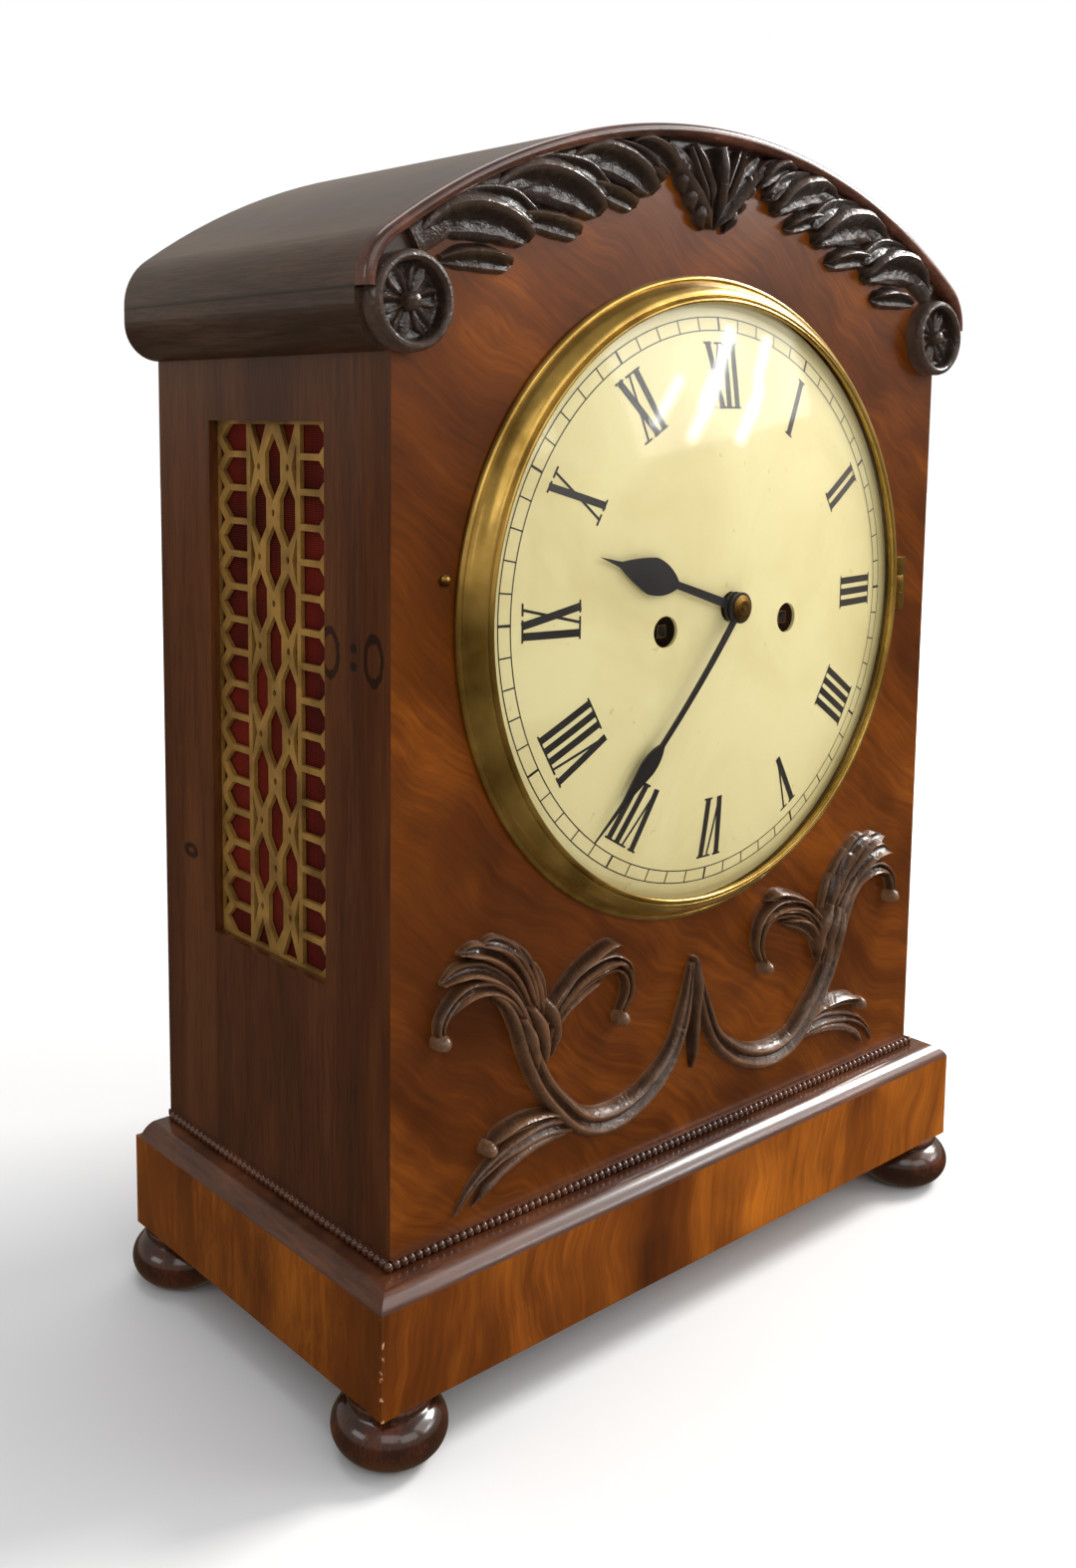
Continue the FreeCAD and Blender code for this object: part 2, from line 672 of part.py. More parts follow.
def make_rosettes():
    rosettes = []
    rim = rosette_radius
    dish = 0.48 * rosette_depth
    button = 0.22 * rim
    soft, bead, slope = 0.9, 2.1, 3.4       # in from the rim: its rounded edge, its top, the foot of its slope
    for side in (-1, 1):
        x, z = side * rosette_x, rosette_z
        profile = [(0, out(0)), (rim, out(0)), (rim, out(rosette_depth - 1.2)), (rim - soft, out(rosette_depth)),
                   (rim - bead, out(rosette_depth)), (rim - slope, out(dish)), (button, out(dish)),
                   (0.7 * button, out(rosette_depth - 1.0)), (0, out(rosette_depth - 0.4))]
        body = turned(profile, x, z)
        petals = []
        for k in range(rosette_petals):
            angle = 2 * pi * k / rosette_petals
            petals.append(petal((x, z), angle, 0.8 * button, rim - 3.0, 0.43 * rim, 0.74 * rosette_depth))
        rosettes.append(fuse([body] + petals))
    save("rosettes", Part.makeCompound(rosettes))


# The scroll's lines are drawn for a panel 280 wide, with the lowest leaf at 0 and the spear's tip at 66.
drawn_half, drawn_top = 140.0, 66.0
stem_line = ((-3.2, 63), (-5, 49), (-11, 33), (-21, 23.5), (-34, 18), (-47, 16.5), (-59, 20.5),
             (-70, 30), (-78, 40), (-83.5, 51), (-87, 63), (-92, 73), (-100, 80), (-110, 81.5),
             (-117.5, 78), (-122, 72), (-123, 65))
stem_widths = (3.5, 7.5, 9.0, 8.5, 8.0, 7.0, 7.5, 5.0)
branch_line = ((-75.5, 42), (-77, 53), (-73, 63), (-65, 70.5), (-55, 74.5), (-45, 75), (-37.5, 70.5),
               (-36.5, 61), (-41, 52))
branch_widths = (3.0, 7.0, 8.0, 7.5, 3.0)
tail_line = ((-58, 17.5), (-70, 22), (-82, 24), (-94, 22), (-104, 17), (-111, 8), (-114, 0))
tail_widths = (6.0, 7.0, 8.0, 5.0, 1.6)
crest_root, crest_width = (-87, 61), 9.0
crest_tips = ((-119, 90.5), (-109, 94.5), (-98, 94.5), (-88, 90), (-81, 82))
branch_leaf = ((-56, 70), (-38, 80))
tail_leaf = ((-86, 22), (-99, 29))
spear_line = ((0, 66), (0, 20))
spear_width = 8.0


def make_scrolls():
    """Two mirrored leaf scrolls that rise from the middle, joined by a spear between their stems."""
    base = plinth_top + ovolo_height + bead_size + scroll_base_gap
    top = dial_height - bezel_radius - scroll_top_gap

    def laid(points, side=1):
        return [(side * x * half_width / drawn_half, base + z * (top - base) / drawn_top) for x, z in points]

    parts = [leaf(*laid(spear_line), spear_width, 0.7 * scroll_thick)]
    for side in (1, -1):
        parts.append(ribbon(laid(stem_line, side), stem_widths, scroll_thick))
        parts.append(ribbon(laid(branch_line, side), branch_widths, 0.86 * scroll_thick))
        parts.append(ribbon(laid(tail_line, side), tail_widths, 0.78 * scroll_thick))
        for k, tip in enumerate(crest_tips):
            parts.append(leaf(*laid((crest_root, tip), side), crest_width, (1.12 - 0.05 * k) * scroll_thick))
        parts.append(leaf(*laid(branch_leaf, side), 0.9 * crest_width, 1.06 * scroll_thick))
        parts.append(leaf(*laid(tail_leaf, side), 0.72 * crest_width, 0.9 * scroll_thick))
    save("scroll_carving", fuse(parts))


# ------------------------------------------------------------------ dial, bezel and glass
def domed(r, reach, rise):
    """How far a dome of this reach and rise stands out at the radius r."""
    ball = (reach ** 2 + rise ** 2) / (2 * rise)
    return rise - (ball - sqrt(ball ** 2 - r ** 2))


def dial_out(r):
    """The dial's front surface in front of the panel."""
    return dial_edge + domed(r, dial_radius, dial_crown - dial_edge)


def make_dial():
    inside = dial_radius - dial_thickness
    rings = [dial_bore + (inside - dial_bore) * k / dial_rings for k in range(dial_rings + 1)]
    profile = [(r, out(dial_out(r))) for r in rings]
    profile += [(dial_radius, out(dial_edge)), (dial_radius, out(seat_gap)), (inside, out(seat_gap))]
    profile += [(r, out(dial_out(r) - dial_thickness)) for r in reversed(rings)]
    holes = [rod(winding_hole_radius, side * winding_x, dial_height - winding_drop, out(2 * dial_crown), depth(0))
             for side in (-1, 1)]
    save("dial", cut(turned(profile, 0, dial_height), holes))
    posts = []
    outer = hypot(dial_post_spread_x, dial_post_spread_z) + dial_post_radius
    front = out(dial_out(outer) - dial_thickness) + seat_gap / 2
    for sx in (-1, 1):
        for sz in (-1, 1):
            x, z = sx * dial_post_spread_x, dial_height + sz * dial_post_spread_z
            posts.append(rod(dial_post_radius, x, z, front, depth(front_plate_depth)))
    save("dial_feet", Part.makeCompound(posts))


hinge_lift = 0.2                            # a knuckle's lowest line over the wood
bezel_hinge_x = bezel_radius + knuckle_radius + leaf_gap
bezel_hinge_out = knuckle_radius + hinge_lift


def make_bezel():
    outer, sight, z = bezel_radius, bezel_sight_radius, dial_height
    rebate = sight + glass_rebate
    groove = bezel_height - bezel_lip + 0.1
    step, brow = (outer - bezel_edge, out(bezel_edge + 1.0)), (sight + 3.0, out(bezel_height - 0.7))
    profile = [(outer - bezel_wall, out(0)), (outer, out(0)), (outer, out(bezel_edge)), step]
    profile += bend(step, brow, 0.8, 2)
    profile += [(sight + bezel_lip, out(bezel_height)), (sight, out(bezel_height - 0.9)),
                (sight, out(groove)), (rebate, out(groove)),
                (rebate, out(glass_seat - 2 * seat_gap)), (outer - bezel_wall, out(bezel_edge + 0.2))]
    ring = turned(profile, 0, z)
    half = knuckle_length / 2
    lug = box(outer - 1.5, bezel_hinge_x, out(bezel_hinge_out - hinge_lift), out(leaf_gap), z - half, z + half)
    y = out(bezel_hinge_out)
    bore = post(hinge_pin_radius + running_gap, bezel_hinge_x, y, z - knuckle_length, z + knuckle_length)
    moving = fuse([lug, post(knuckle_radius, bezel_hinge_x, y, z - half, z + half)]).cut(bore)
    save("bezel", fuse([ring, moving]))
    fixed = []
    clear = bezel_hinge_x + knuckle_radius + leaf_gap
    plate_end = bezel_hinge_x + 0.75 * hinge_leaf_width
    for low in (z - 3 * half, z + half + seat_gap):
        high = low + knuckle_length - seat_gap
        fixed.append(post(knuckle_radius, bezel_hinge_x, y, low, high))
        fixed.append(box(bezel_hinge_x, clear + leaf_thickness, out(leaf_thickness), out(0), low, high))
    fixed.append(box(clear, plate_end, out(leaf_thickness), out(0), z - 3 * half, z + 3 * half))
    fixed.append(post(hinge_pin_radius, bezel_hinge_x, y, z - 2.8 * half, z + 2.8 * half))
    pin, tall = catch_radius, catch_height
    catch = turned([(0, out(0)), (pin, out(0)), (pin, out(0.52 * tall)), (0.63 * pin, out(0.87 * tall)),
                    (0, out(tall))], -outer - catch_gap, z + catch_rise)
    save("bezel_fittings", Part.makeCompound([fuse(fixed), catch]))

    rim = rebate - seat_gap
    rings = [rim * k / glass_rings for k in range(glass_rings + 1)]
    glass = [(r, out(glass_seat + domed(r, rim, glass_rise))) for r in rings]
    glass += [(r, out(glass_seat + glass_thickness + domed(r, rim, glass_rise))) for r in reversed(rings)]
    save("bezel_glass", turned(glass, 0, z))


# ------------------------------------------------------------------ rear door
def make_door():
    y1 = depth(case_depth)
    y0 = y1 - door_thickness
    half = inner_half - door_gap
    low, high = floor_top + door_gap, hood_base - door_gap
    frame = box(-half, half, y0, y1, low, high)
    sight_x = half - door_stile
    sight_low, sight_high = low + door_stile, high - door_stile
    sight = box(-sight_x, sight_x, y0 - 1, y1 + 1, sight_low, sight_high)
    lap = door_glass_lap
    seat = y0 + door_thickness / 2
    rebate = box(-sight_x - lap, sight_x + lap, y0 - 1, seat, sight_low - lap, sight_high + lap)
    save("rear_door_frame", cut(frame, [sight, rebate]))
    lap -= seat_gap
    save("rear_door_glass", box(-sight_x - lap, sight_x + lap, seat - door_glass_thickness, seat,
                                sight_low - lap, sight_high + lap))
    rose, r, long = knob_radius + rose_reach, knob_radius, knob_length
    profile = [(0, y1), (rose, y1), (rose, y1 + 0.12 * long), (knob_neck, y1 + 0.2 * long),
               (knob_neck, y1 + 0.39 * long), (r, y1 + 0.56 * long), (r, y1 + 0.76 * long),
               (0.63 * r, y1 + 0.95 * long), (0, y1 + long)]
    save("rear_door_knob", turned(profile, -half + door_stile / 2, (low + high) / 2))
    axis_x = inner_half - door_gap / 2
    axis_y = y1 + knuckle_radius + hinge_lift
    clear = knuckle_radius + leaf_gap
    edge = clear + leaf_thickness
    wide = clear + hinge_leaf_width
    fixed, moving = [], []
    k = knuckle_length
    for z in (low + door_hinge_inset, high - door_hinge_inset):
        pieces = []
        for z0 in (z - 1.5 * k, z + 0.5 * k + seat_gap):
            z1 = z0 + k - seat_gap
            pieces.append(post(knuckle_radius, axis_x, axis_y, z0, z1))
            pieces.append(box(axis_x, axis_x + edge, y1, y1 + leaf_thickness, z0, z1))
        pieces.append(box(axis_x + clear, axis_x + wide, y1, y1 + leaf_thickness, z - 1.5 * k, z + 1.5 * k))
        pieces.append(post(hinge_pin_radius, axis_x, axis_y, z - 1.45 * k, z + 1.45 * k))
        fixed.append(fuse(pieces))
        top = y1 + leaf_thickness + hinge_lift
        body = fuse([post(knuckle_radius, axis_x, axis_y, z - 0.5 * k, z + 0.5 * k),
                     box(axis_x - edge, axis_x, y1 + hinge_lift, top, z - 0.5 * k, z + 0.5 * k),
                     box(axis_x - wide, axis_x - clear, y1, top, z - 1.5 * k, z + 1.5 * k)])
        moving.append(body.cut(post(hinge_pin_radius + running_gap, axis_x, axis_y, z - 2 * k, z + 2 * k)))
    save("door_hinges_fixed", Part.makeCompound(fixed))
    save("door_hinges_moving", Part.makeCompound(moving))


# ------------------------------------------------------------------ wheels
tooth_up, tooth_down = 0.8, 1.2             # of the module, above and below the pitch circle


def toothed(teeth, module, x, z, y0, y1, phase):
    """Wheel or pinion blank with pointed teeth, one of them at the angle phase."""
    pitch = teeth * module / 2
    outer, inner = pitch + tooth_up * module, pitch - tooth_down * module
    points = []
    for k in range(teeth):
        tip, root = phase + 2 * pi * k / teeth, phase + 2 * pi * (k + 0.5) / teeth
        points.append((x + outer * cos(tip), z + outer * sin(tip)))
        points.append((x + inner * cos(root), z + inner * sin(root)))
    return slab(points, y0, y1)


def crossings(x, z, inner, outer, count, arm, y0, y1):
    """Openings between the spokes of a wheel."""
    tools = []

    def place(r, a):
        return (x + r * cos(a), z + r * sin(a))

    for k in range(count):
        mid = 2 * pi * (k + 0.5) / count
        wide_in, wide_out = pi / count - arm / 2 / inner, pi / count - arm / 2 / outer
        tools.append(slab([place(inner, mid - wide_in), place(outer, mid - wide_out),
                           (place(outer, mid), place(outer, mid + wide_out)), place(inner, mid + wide_in),
                           (place(inner, mid), place(inner, mid - wide_in))], y0 - 1, y1 + 1))
    return tools


def direction(a, b):
    return atan2(b[1] - a[1], b[0] - a[0])


def distance(a, b):
    return hypot(b[0] - a[0], b[1] - a[1])


def gap_phase(teeth, angle):
    """Phase that puts a gap, not a tooth, at the angle."""
    return angle + pi / teeth


plate_front = front_plate_depth + plate_thickness           # depth of the front plate's rear face
plate_rear = plate_front + plate_gap                        # depth of the back plate's front face


def arbor(place, first=None, last=None, radius=None):
    """Arbor between the plates with a pivot in each, or running on past them to the given depths."""
    x, z = place[0], dial_height + place[1]
    r = radius or arbor_radius
    body = rod(r, x, z, depth(plate_front + end_shake), depth(plate_rear - end_shake))
    start = depth(front_plate_depth if first is None else first)
    end = depth(plate_rear + plate_thickness if last is None else last)
    return fuse([body, rod(pivot_radius, x, z, start, end)])


def gear(place, teeth, module, station, thickness, phase):
    """Toothed wheel or pinion whose front face lies this far behind the front plate's rear face."""
    near = plate_front + station
    return toothed(teeth, module, place[0], dial_height + place[1], depth(near), depth(near + thickness), phase)


def crossed(place, teeth, module, station, thickness, phase):
    """Wheel with four spokes."""
    near = plate_front + station
    outer = module * teeth / 2 - rim_width
    holes = crossings(place[0], dial_height + place[1], hub_radius, outer, 4, spoke_width,
                      depth(near), depth(near + thickness))
    return cut(gear(place, teeth, module, station, thickness, phase), holes)


# going train
centre = (0.0, 0.0)
going = (winding_x, -winding_drop)
great_teeth, leaves, centre_teeth, third_teeth, escape_teeth = 72, 6, 72, 66, 30
great_module = 2 * distance(centre, going) / (great_teeth + leaves)
third_distance = centre_module * (centre_teeth + leaves) / 2
escape_distance = third_module * (third_teeth + leaves) / 2
third = (third_x, sqrt(third_distance ** 2 - third_x ** 2))
escape = (0.0, third[1] + sqrt(escape_distance ** 2 - third_x ** 2))
pallet_span = 45.0                          # degrees either side of the line of centres
pallet = (0.0, escape[1] + escape_radius / cos(radians(pallet_span)))
# striking train
striking = (-winding_x, -winding_drop)
strike_teeth, pin_teeth, gather_teeth, warn_teeth = 60, 48, 42, 36
strike_turn, pin_turn, gather_turn, warn_turn = 104.0, 47.0, 40.0, 150.0    # degrees from one arbor to the next


def from_place(place, reach, angle):
    return (place[0] + reach * cos(radians(angle)), place[1] + reach * sin(radians(angle)))


pin_place = from_place(striking, strike_module * (strike_teeth + leaves) / 2, strike_turn)
gather_place = from_place(pin_place, pin_module * (pin_teeth + leaves) / 2, pin_turn)
warn_place = from_place(gather_place, gather_module * (gather_teeth + leaves) / 2, gather_turn)
fly_place = from_place(warn_place, warn_module * (warn_teeth + leaves) / 2, warn_turn)
hammer_place = (-hammer_x, hammer_rise)
motion_teeth, motion_leaves, hour_teeth = 24, 6, 72
minute_place = from_place(centre, motion_distance, -45.0)
pillar_places = ((-pillar_foot_x, -pillar_foot_drop), (pillar_foot_x, -pillar_foot_drop),
                 (-pillar_head_x, pillar_head_rise), (pillar_head_x, pillar_head_rise))
fusee_mean = 0.62 * (fusee_small + fusee_large)             # where the line leaves the cone


def make_fusee(name, place, teeth, module, station, phase):
    x, z = place[0], dial_height + place[1]
    y0, y1 = depth(plate_front + fusee_front_gap), depth(plate_rear - fusee_back_gap)
    flank = bend((fusee_small, y0), (fusee_large, y1), fusee_swell, 3)
    cone = turned([(0, y0), (fusee_small, y0)] + flank + [(0, y1)], x, z)
    wheel = gear(place, teeth, module, station, great_thickness, phase)
    ratchet = rod(0.55 * fusee_large, x, z, y1, depth(plate_front + station))
    square_out = dial_crown - winding_square_recess
    square_in = square_out - winding_square_length
    shaft = arbor(place, -square_out, None, winding_arbor_radius)
    bearing = rod(winding_bearing_radius, x, z, out(square_in + 1.0), depth(plate_front + end_shake))
    half = winding_square / 2
    key = box(x - half, x + half, out(square_out), out(square_in), z - half, z + half)
    save(name, fuse([cone, wheel, ratchet, shaft, bearing, key]))


def make_barrel(name, side):
    place = (side * barrel_x, -barrel_drop)
    x, z = place[0], dial_height + place[1]
    y0, y1 = depth(plate_front + barrel_front_gap), depth(plate_rear - barrel_back_gap)
    r, rim, wide = barrel_radius, barrel_radius + barrel_flange, barrel_flange_width
    drum = [(0, y0), (rim, y0), (rim, y0 + wide), (r, y0 + wide), (r, y1 - wide), (rim, y1 - wide), (rim, y1), (0, y1)]
    save(name, fuse([turned(drum, x, z), arbor(place, None, None, barrel_arbor_radius)]))


def make_lines():
    """Gut line of each fusee: the free stretch between its grooves and the barrel."""
    lines = []
    y = depth(plate_front + line_station)
    for side in (-1, 1):
        a = (side * winding_x, -winding_drop)
        b = (side * barrel_x, -barrel_drop)
        lean = asin((barrel_radius - fusee_mean) / distance(a, b))
        normal = direction(a, b) + side * (pi / 2 + lean)
        ra, rb = fusee_mean + line_radius + seat_gap, barrel_radius + line_radius + seat_gap
        p = V(a[0] + ra * cos(normal), y, dial_height + a[1] + ra * sin(normal))
        q = V(b[0] + rb * cos(normal), y, dial_height + b[1] + rb * sin(normal))
        lines.append(Part.makeCylinder(line_radius, (q - p).Length, p, q - p))
    save("fusee_lines", Part.makeCompound(lines))


def make_going_train():
    toward = direction(centre, going)
    make_fusee("going_fusee", going, great_teeth, great_module, great_station, direction(going, centre))
    make_barrel("going_barrel", 1)
    pinion = gear(centre, leaves, great_module, great_pinion_station, great_pinion_length, gap_phase(leaves, toward))
    wheel = crossed(centre, centre_teeth, centre_module, centre_station, wheel_thickness, direction(centre, third))
    shaft = arbor(centre, -(minute_out + hand_thickness + collet_height + 0.5), None, thick_arbor_radius)
    save("centre_wheel", fuse([pinion, wheel, shaft]))

    pinion = gear(third, leaves, centre_module, third_pinion_station, pinion_length,
                  gap_phase(leaves, direction(third, centre)))
    wheel = crossed(third, third_teeth, third_module, third_station, wheel_thickness, direction(third, escape))
    save("third_wheel", fuse([pinion, wheel, arbor(third)]))

    pinion = gear(escape, leaves, third_module, escape_pinion_station, pinion_length,
                  gap_phase(leaves, direction(escape, third)))
    save("escape_wheel", fuse([pinion, make_escape_disc(), arbor(escape)]))


def make_escape_disc():
    """Thirty raked teeth: steep in front, sloping behind."""
    x, z = escape[0], dial_height + escape[1]
    root = escape_radius - escape_tooth
    points = []
    for k in range(escape_teeth):
        tip = 2 * pi * k / escape_teeth
        foot = tip + 0.55 * 2 * pi / escape_teeth
        points.append((x + escape_radius * cos(tip), z + escape_radius * sin(tip)))
        points.append((x + root * cos(foot), z + root * sin(foot)))
    near, far = depth(plate_front + escape_station), depth(plate_front + escape_station + thin_wheel)
    disc = slab(points, near, far)
    return cut(disc, crossings(x, z, 0.9 * hub_radius, root - 0.55 * rim_width, 4, 0.8 * spoke_width, near, far))


back_face = plate_rear + plate_thickness                    # depth of the back plate's rear face
pendulum_out_depth = back_face + pendulum_offset            # depth of the pendulum rod's axis
pendulum_length = (dial_height + pallet[1] - floor_top - pendulum_clear
                   - bob_radius - nut_gap - nut_height)      # pallets to the bob's middle
swing = 3.0                                                 # degrees either side of the vertical
collet_start = back_face + collet_stand
crutch_start = back_face + crutch_stand


def make_pallets():
    x, z = pallet[0], dial_height + pallet[1]
    reach = 0.98 * escape_radius * sin(radians(pallet_span)) * sqrt(2)
    middle = plate_front + escape_station + thin_wheel / 2
    near, far = depth(middle - pallet_thickness / 2), depth(middle + pallet_thickness / 2)
    hub = rod(pallet_hub_radius, x, z, near, far)
    clear = rod(escape_radius + pallet_gap, x, dial_height + escape[1], near - 1, far + 1)
    head, chin = z + 0.95 * pallet_hub_radius, z - 0.83 * pallet_hub_radius
    brow, tip = z - reach / 2 + 2 * pallet_arm, z - 1.12 * reach
    arms = slab([(x - pallet_arm, head), (x - reach - claw_out, brow), (x - reach - 0.6 * claw_out, tip),
                 (x - reach + claw_in, z - reach), (x - reach + 0.6 * claw_in, z - 0.55 * reach),
                 ((x, chin), (x + reach - 0.6 * claw_in, z - 0.55 * reach)),
                 (x + reach - claw_in, z - reach), (x + reach + 0.6 * claw_out, tip),
                 (x + reach + claw_out, brow), (x + pallet_arm, head)], near, far)
    anchor = fuse([arms, hub]).cut(clear)
    shaft = arbor(pallet, None, crutch_start + crutch_thickness + pallet_arbor_tail, thick_arbor_radius)
    collet = rod(collet_radius, x, z, depth(collet_start), depth(collet_start + collet_length))
    save("pallet_arbor", fuse([anchor, shaft, collet]))
    y0, y1 = depth(crutch_start), depth(crutch_start + crutch_thickness)
    foot = z - crutch_length
    half = crutch_width / 2
    prong_end = depth(pendulum_out_depth + pendulum_radius + 1.0)
    outer = fork_half_gap + fork_prong
    arm = box(x - half, x + half, y0, y1, foot, z - collet_radius - 0.1)
    prongs = [box(x + min(s * fork_half_gap, s * outer), x + max(s * fork_half_gap, s * outer), y1, prong_end,
                  foot, foot + fork_height) for s in (-1, 1)]
    bridge = box(x - outer, x + outer, y0, y1, foot, foot + fork_height)
    collar = rod(collet_radius + crutch_thickness, x, z, y0, y1).cut(rod(collet_radius, x, z, y0 - 1, y1 + 1))
    save("crutch", fuse([arm, bridge, collar] + prongs))


def make_pendulum():
    x, z = 0.0, dial_height + pallet[1]
    y = depth(pendulum_out_depth)
    bob_z = z - pendulum_length
    top = z - suspension_drop
    low = bob_z - bob_radius - nut_gap - nut_height - rod_tail
    stem = post(pendulum_radius, x, y, low, top)
    wide, thin = chop_width / 2, chop_thickness / 2
    chops = box(x - wide, x + wide, y - thin, y + thin, top - 1.0, top - 1.0 + chop_height)
    wide, thin = suspension_width / 2, suspension_thickness / 2
    spring = box(x - wide, x + wide, y - thin, y + thin, top - 1.0 + chop_height, z + cock_above - 0.5)
    save("pendulum_rod", Part.makeCompound([fuse([stem, chops]), spring]))
    half, edge = bob_thickness / 2, bob_edge / 2
    face = bend((0, y - half), (bob_radius, y - edge), -0.92 * bob_edge, 2)
    profile = [(0, y - half)] + face + [(r, 2 * y - v) for r, v in reversed(face)] + [(0, y + half)]
    bob = turned(profile, x, bob_z).cut(post(pendulum_radius, x, y, low - 1, top))
    save("pendulum_bob", bob)
    nut_top = bob_z - bob_radius - nut_gap
    nut_low = nut_top - nut_height
    nut = turned_up([(pendulum_radius, nut_low), (nut_radius, nut_low), (nut_radius, nut_top),
                     (pendulum_radius, nut_top)], x, y)
    save("rating_nut", nut)


def make_back_cock():
    """Bracket on the back plate that carries the pallet arbor's end and the suspension."""
    x, z = pallet[0], dial_height + pallet[1]
    half = cock_foot / 2
    outer = cock_spread + half
    near, far = depth(back_face + cock_reach), depth(back_face + cock_reach + cock_thickness)
    low, shelf, top = z - cock_below, z + cock_above, z + cock_above + cock_chin
    feet = [box(s * cock_spread - half, s * cock_spread + half, depth(back_face), far, low, shelf) for s in (-1, 1)]
    bridge = box(-outer, outer, near, far, low, top)
    pivot = rod(pivot_radius + pivot_clearance, x, z, depth(back_face - 1), far + 1)
    swing_room = rod(2 * collet_radius, x, z, depth(back_face - 1), near)
    chin_half = suspension_width
    chin = box(x - chin_half, x + chin_half, far, depth(pendulum_out_depth + 2 * pendulum_radius), shelf, top)
    wide, thin = suspension_width / 2 + seat_gap, suspension_thickness / 2 + 0.08
    middle = depth(pendulum_out_depth)
    slot = box(x - wide, x + wide, middle - thin, middle + thin, z - 1, shelf - 0.2)
    save("back_cock", cut(fuse(feet + [bridge, chin]), [pivot, swing_room, slot]))


# ------------------------------------------------------------------ striking
def make_striking_train():
    make_fusee("strike_fusee", striking, strike_teeth, strike_module, strike_station, direction(striking, pin_place))
    make_barrel("strike_barrel", -1)
    pinion = gear(pin_place, leaves, strike_module, strike_pinion_station, strike_pinion_length,
                  gap_phase(leaves, direction(pin_place, striking)))
    wheel = gear(pin_place, pin_teeth, pin_module, pin_station, wheel_thickness, direction(pin_place, gather_place))
    pins = []
    pin_count = 8
    for k in range(pin_count):
        angle = 2 * pi * (k + 0.5) / pin_count
        pins.append(rod(pin_radius, pin_place[0] + pin_circle * cos(angle),
                        dial_height + pin_place[1] + pin_circle * sin(angle),
                        depth(plate_front + pin_station - pin_length), depth(plate_front + pin_station)))
    save("pin_wheel", fuse([pinion, wheel, arbor(pin_place, None, None, thick_arbor_radius)] + pins))
    pinion = gear(gather_place, leaves, pin_module, gather_pinion_station, pinion_length,
                  gap_phase(leaves, direction(gather_place, pin_place)))
    wheel = gear(gather_place, gather_teeth, gather_module, gather_station, thin_wheel,
                 direction(gather_place, warn_place))
    save("gathering_wheel", fuse([pinion, wheel, arbor(gather_place)]))
    pinion = gear(warn_place, leaves, gather_module, warn_pinion_station, thin_pinion_length,
                  gap_phase(leaves, direction(warn_place, gather_place)))
    wheel = gear(warn_place, warn_teeth, warn_module, warn_station, thin_wheel, direction(warn_place, fly_place))
    save("warning_wheel", fuse([pinion, wheel, arbor(warn_place)]))
    pinion = gear(fly_place, leaves, warn_module, fly_pinion_station, thin_pinion_length,
                  gap_phase(leaves, direction(fly_place, warn_place)))
    x, z = fly_place[0], dial_height + fly_place[1]
    near, half = depth(plate_front + fly_station), fly_thickness / 2
    blades = box(x - fly_reach, x + fly_reach, near, near + fly_length, z - half, z + half)
    save("fly", fuse([pinion, arbor(fly_place), blades]))


tail_spread = radians(9.0)
bell_depth = plate_front + bell_station
bell_mouth = plate_above + bell_rise


def make_bell():
    x, y, z = bell_x, depth(bell_depth), dial_height + bell_mouth
    r, h, wall = bell_radius, bell_height, bell_wall
    waist = (0.74 * r, z + 0.72 * h)
    outer = [(r, z)] + bend((r, z), waist, -1.6, 2) + bend(waist, (bell_boss, z + h), -2.2, 2)
    inner = [(u - wall, v - (wall if k else 0)) for k, (u, v) in enumerate(outer[:-1])]
    inner.append((bell_boss, z + h - wall))
    profile = outer + [(bell_bore, z + h), (bell_bore, z + h - wall)] + inner[::-1]
    save("bell", turned_up(profile, x, y))
    strap_end, half = depth(back_face + bell_strap), bell_strap_width / 2
    top = z + h + bell_spacer
    low = dial_height + plate_above - bell_strap_foot
    screw_end = z + h - bell_wall - bell_nut_height
    screw_radius = bell_bore - running_gap
    upright = box(x - half, x + half, depth(back_face), strap_end, low, top + bell_strap)
    arm = box(x - half, x + half, depth(bell_depth) - half, strap_end, top, top + bell_strap)
    screw = post(screw_radius, x, y, screw_end, top)
    washer = post(bell_boss - 0.1, x, y, z + h, top)
    nut = post(2 * bell_bore, x, y, screw_end, z + h - wall).cut(post(screw_radius, x, y, z, top))
    save("bell_stand", Part.makeCompound([fuse([upright, arm, screw, washer]), nut]))


def make_hammer():
    x, z = hammer_place[0], dial_height + hammer_place[1]
    y = depth(bell_depth)
    face_x = bell_x - bell_radius - hammer_gap
    head_z = dial_height + bell_mouth + strike_rise
    stem_top = V(face_x - 0.9 * hammer_head_length, y, head_z)
    root = V(x, y, z)
    stem = Part.makeCylinder(hammer_stem_radius, (stem_top - root).Length, root, stem_top - root)
    head_start = V(face_x - hammer_head_length, y, head_z)
    head = Part.makeCylinder(hammer_head_radius, hammer_head_length, head_start, V(1, 0, 0))
    reach = distance(hammer_place, pin_place) - pin_circle - pin_radius - tail_gap
    toward = direction(hammer_place, pin_place)
    hub = 1.85 * thick_arbor_radius
    corners = [(reach, toward - tail_spread), (reach, toward + tail_spread), (hub, toward + pi / 2),
               (hub, toward + pi), (hub, toward - pi / 2)]
    near = depth(plate_front + tail_station)
    tail = slab([(x + r * cos(a), z + r * sin(a)) for r, a in corners], near, near + tail_thickness)
    save("hammer", fuse([arbor(hammer_place, None, None, thick_arbor_radius), stem, head, tail]))


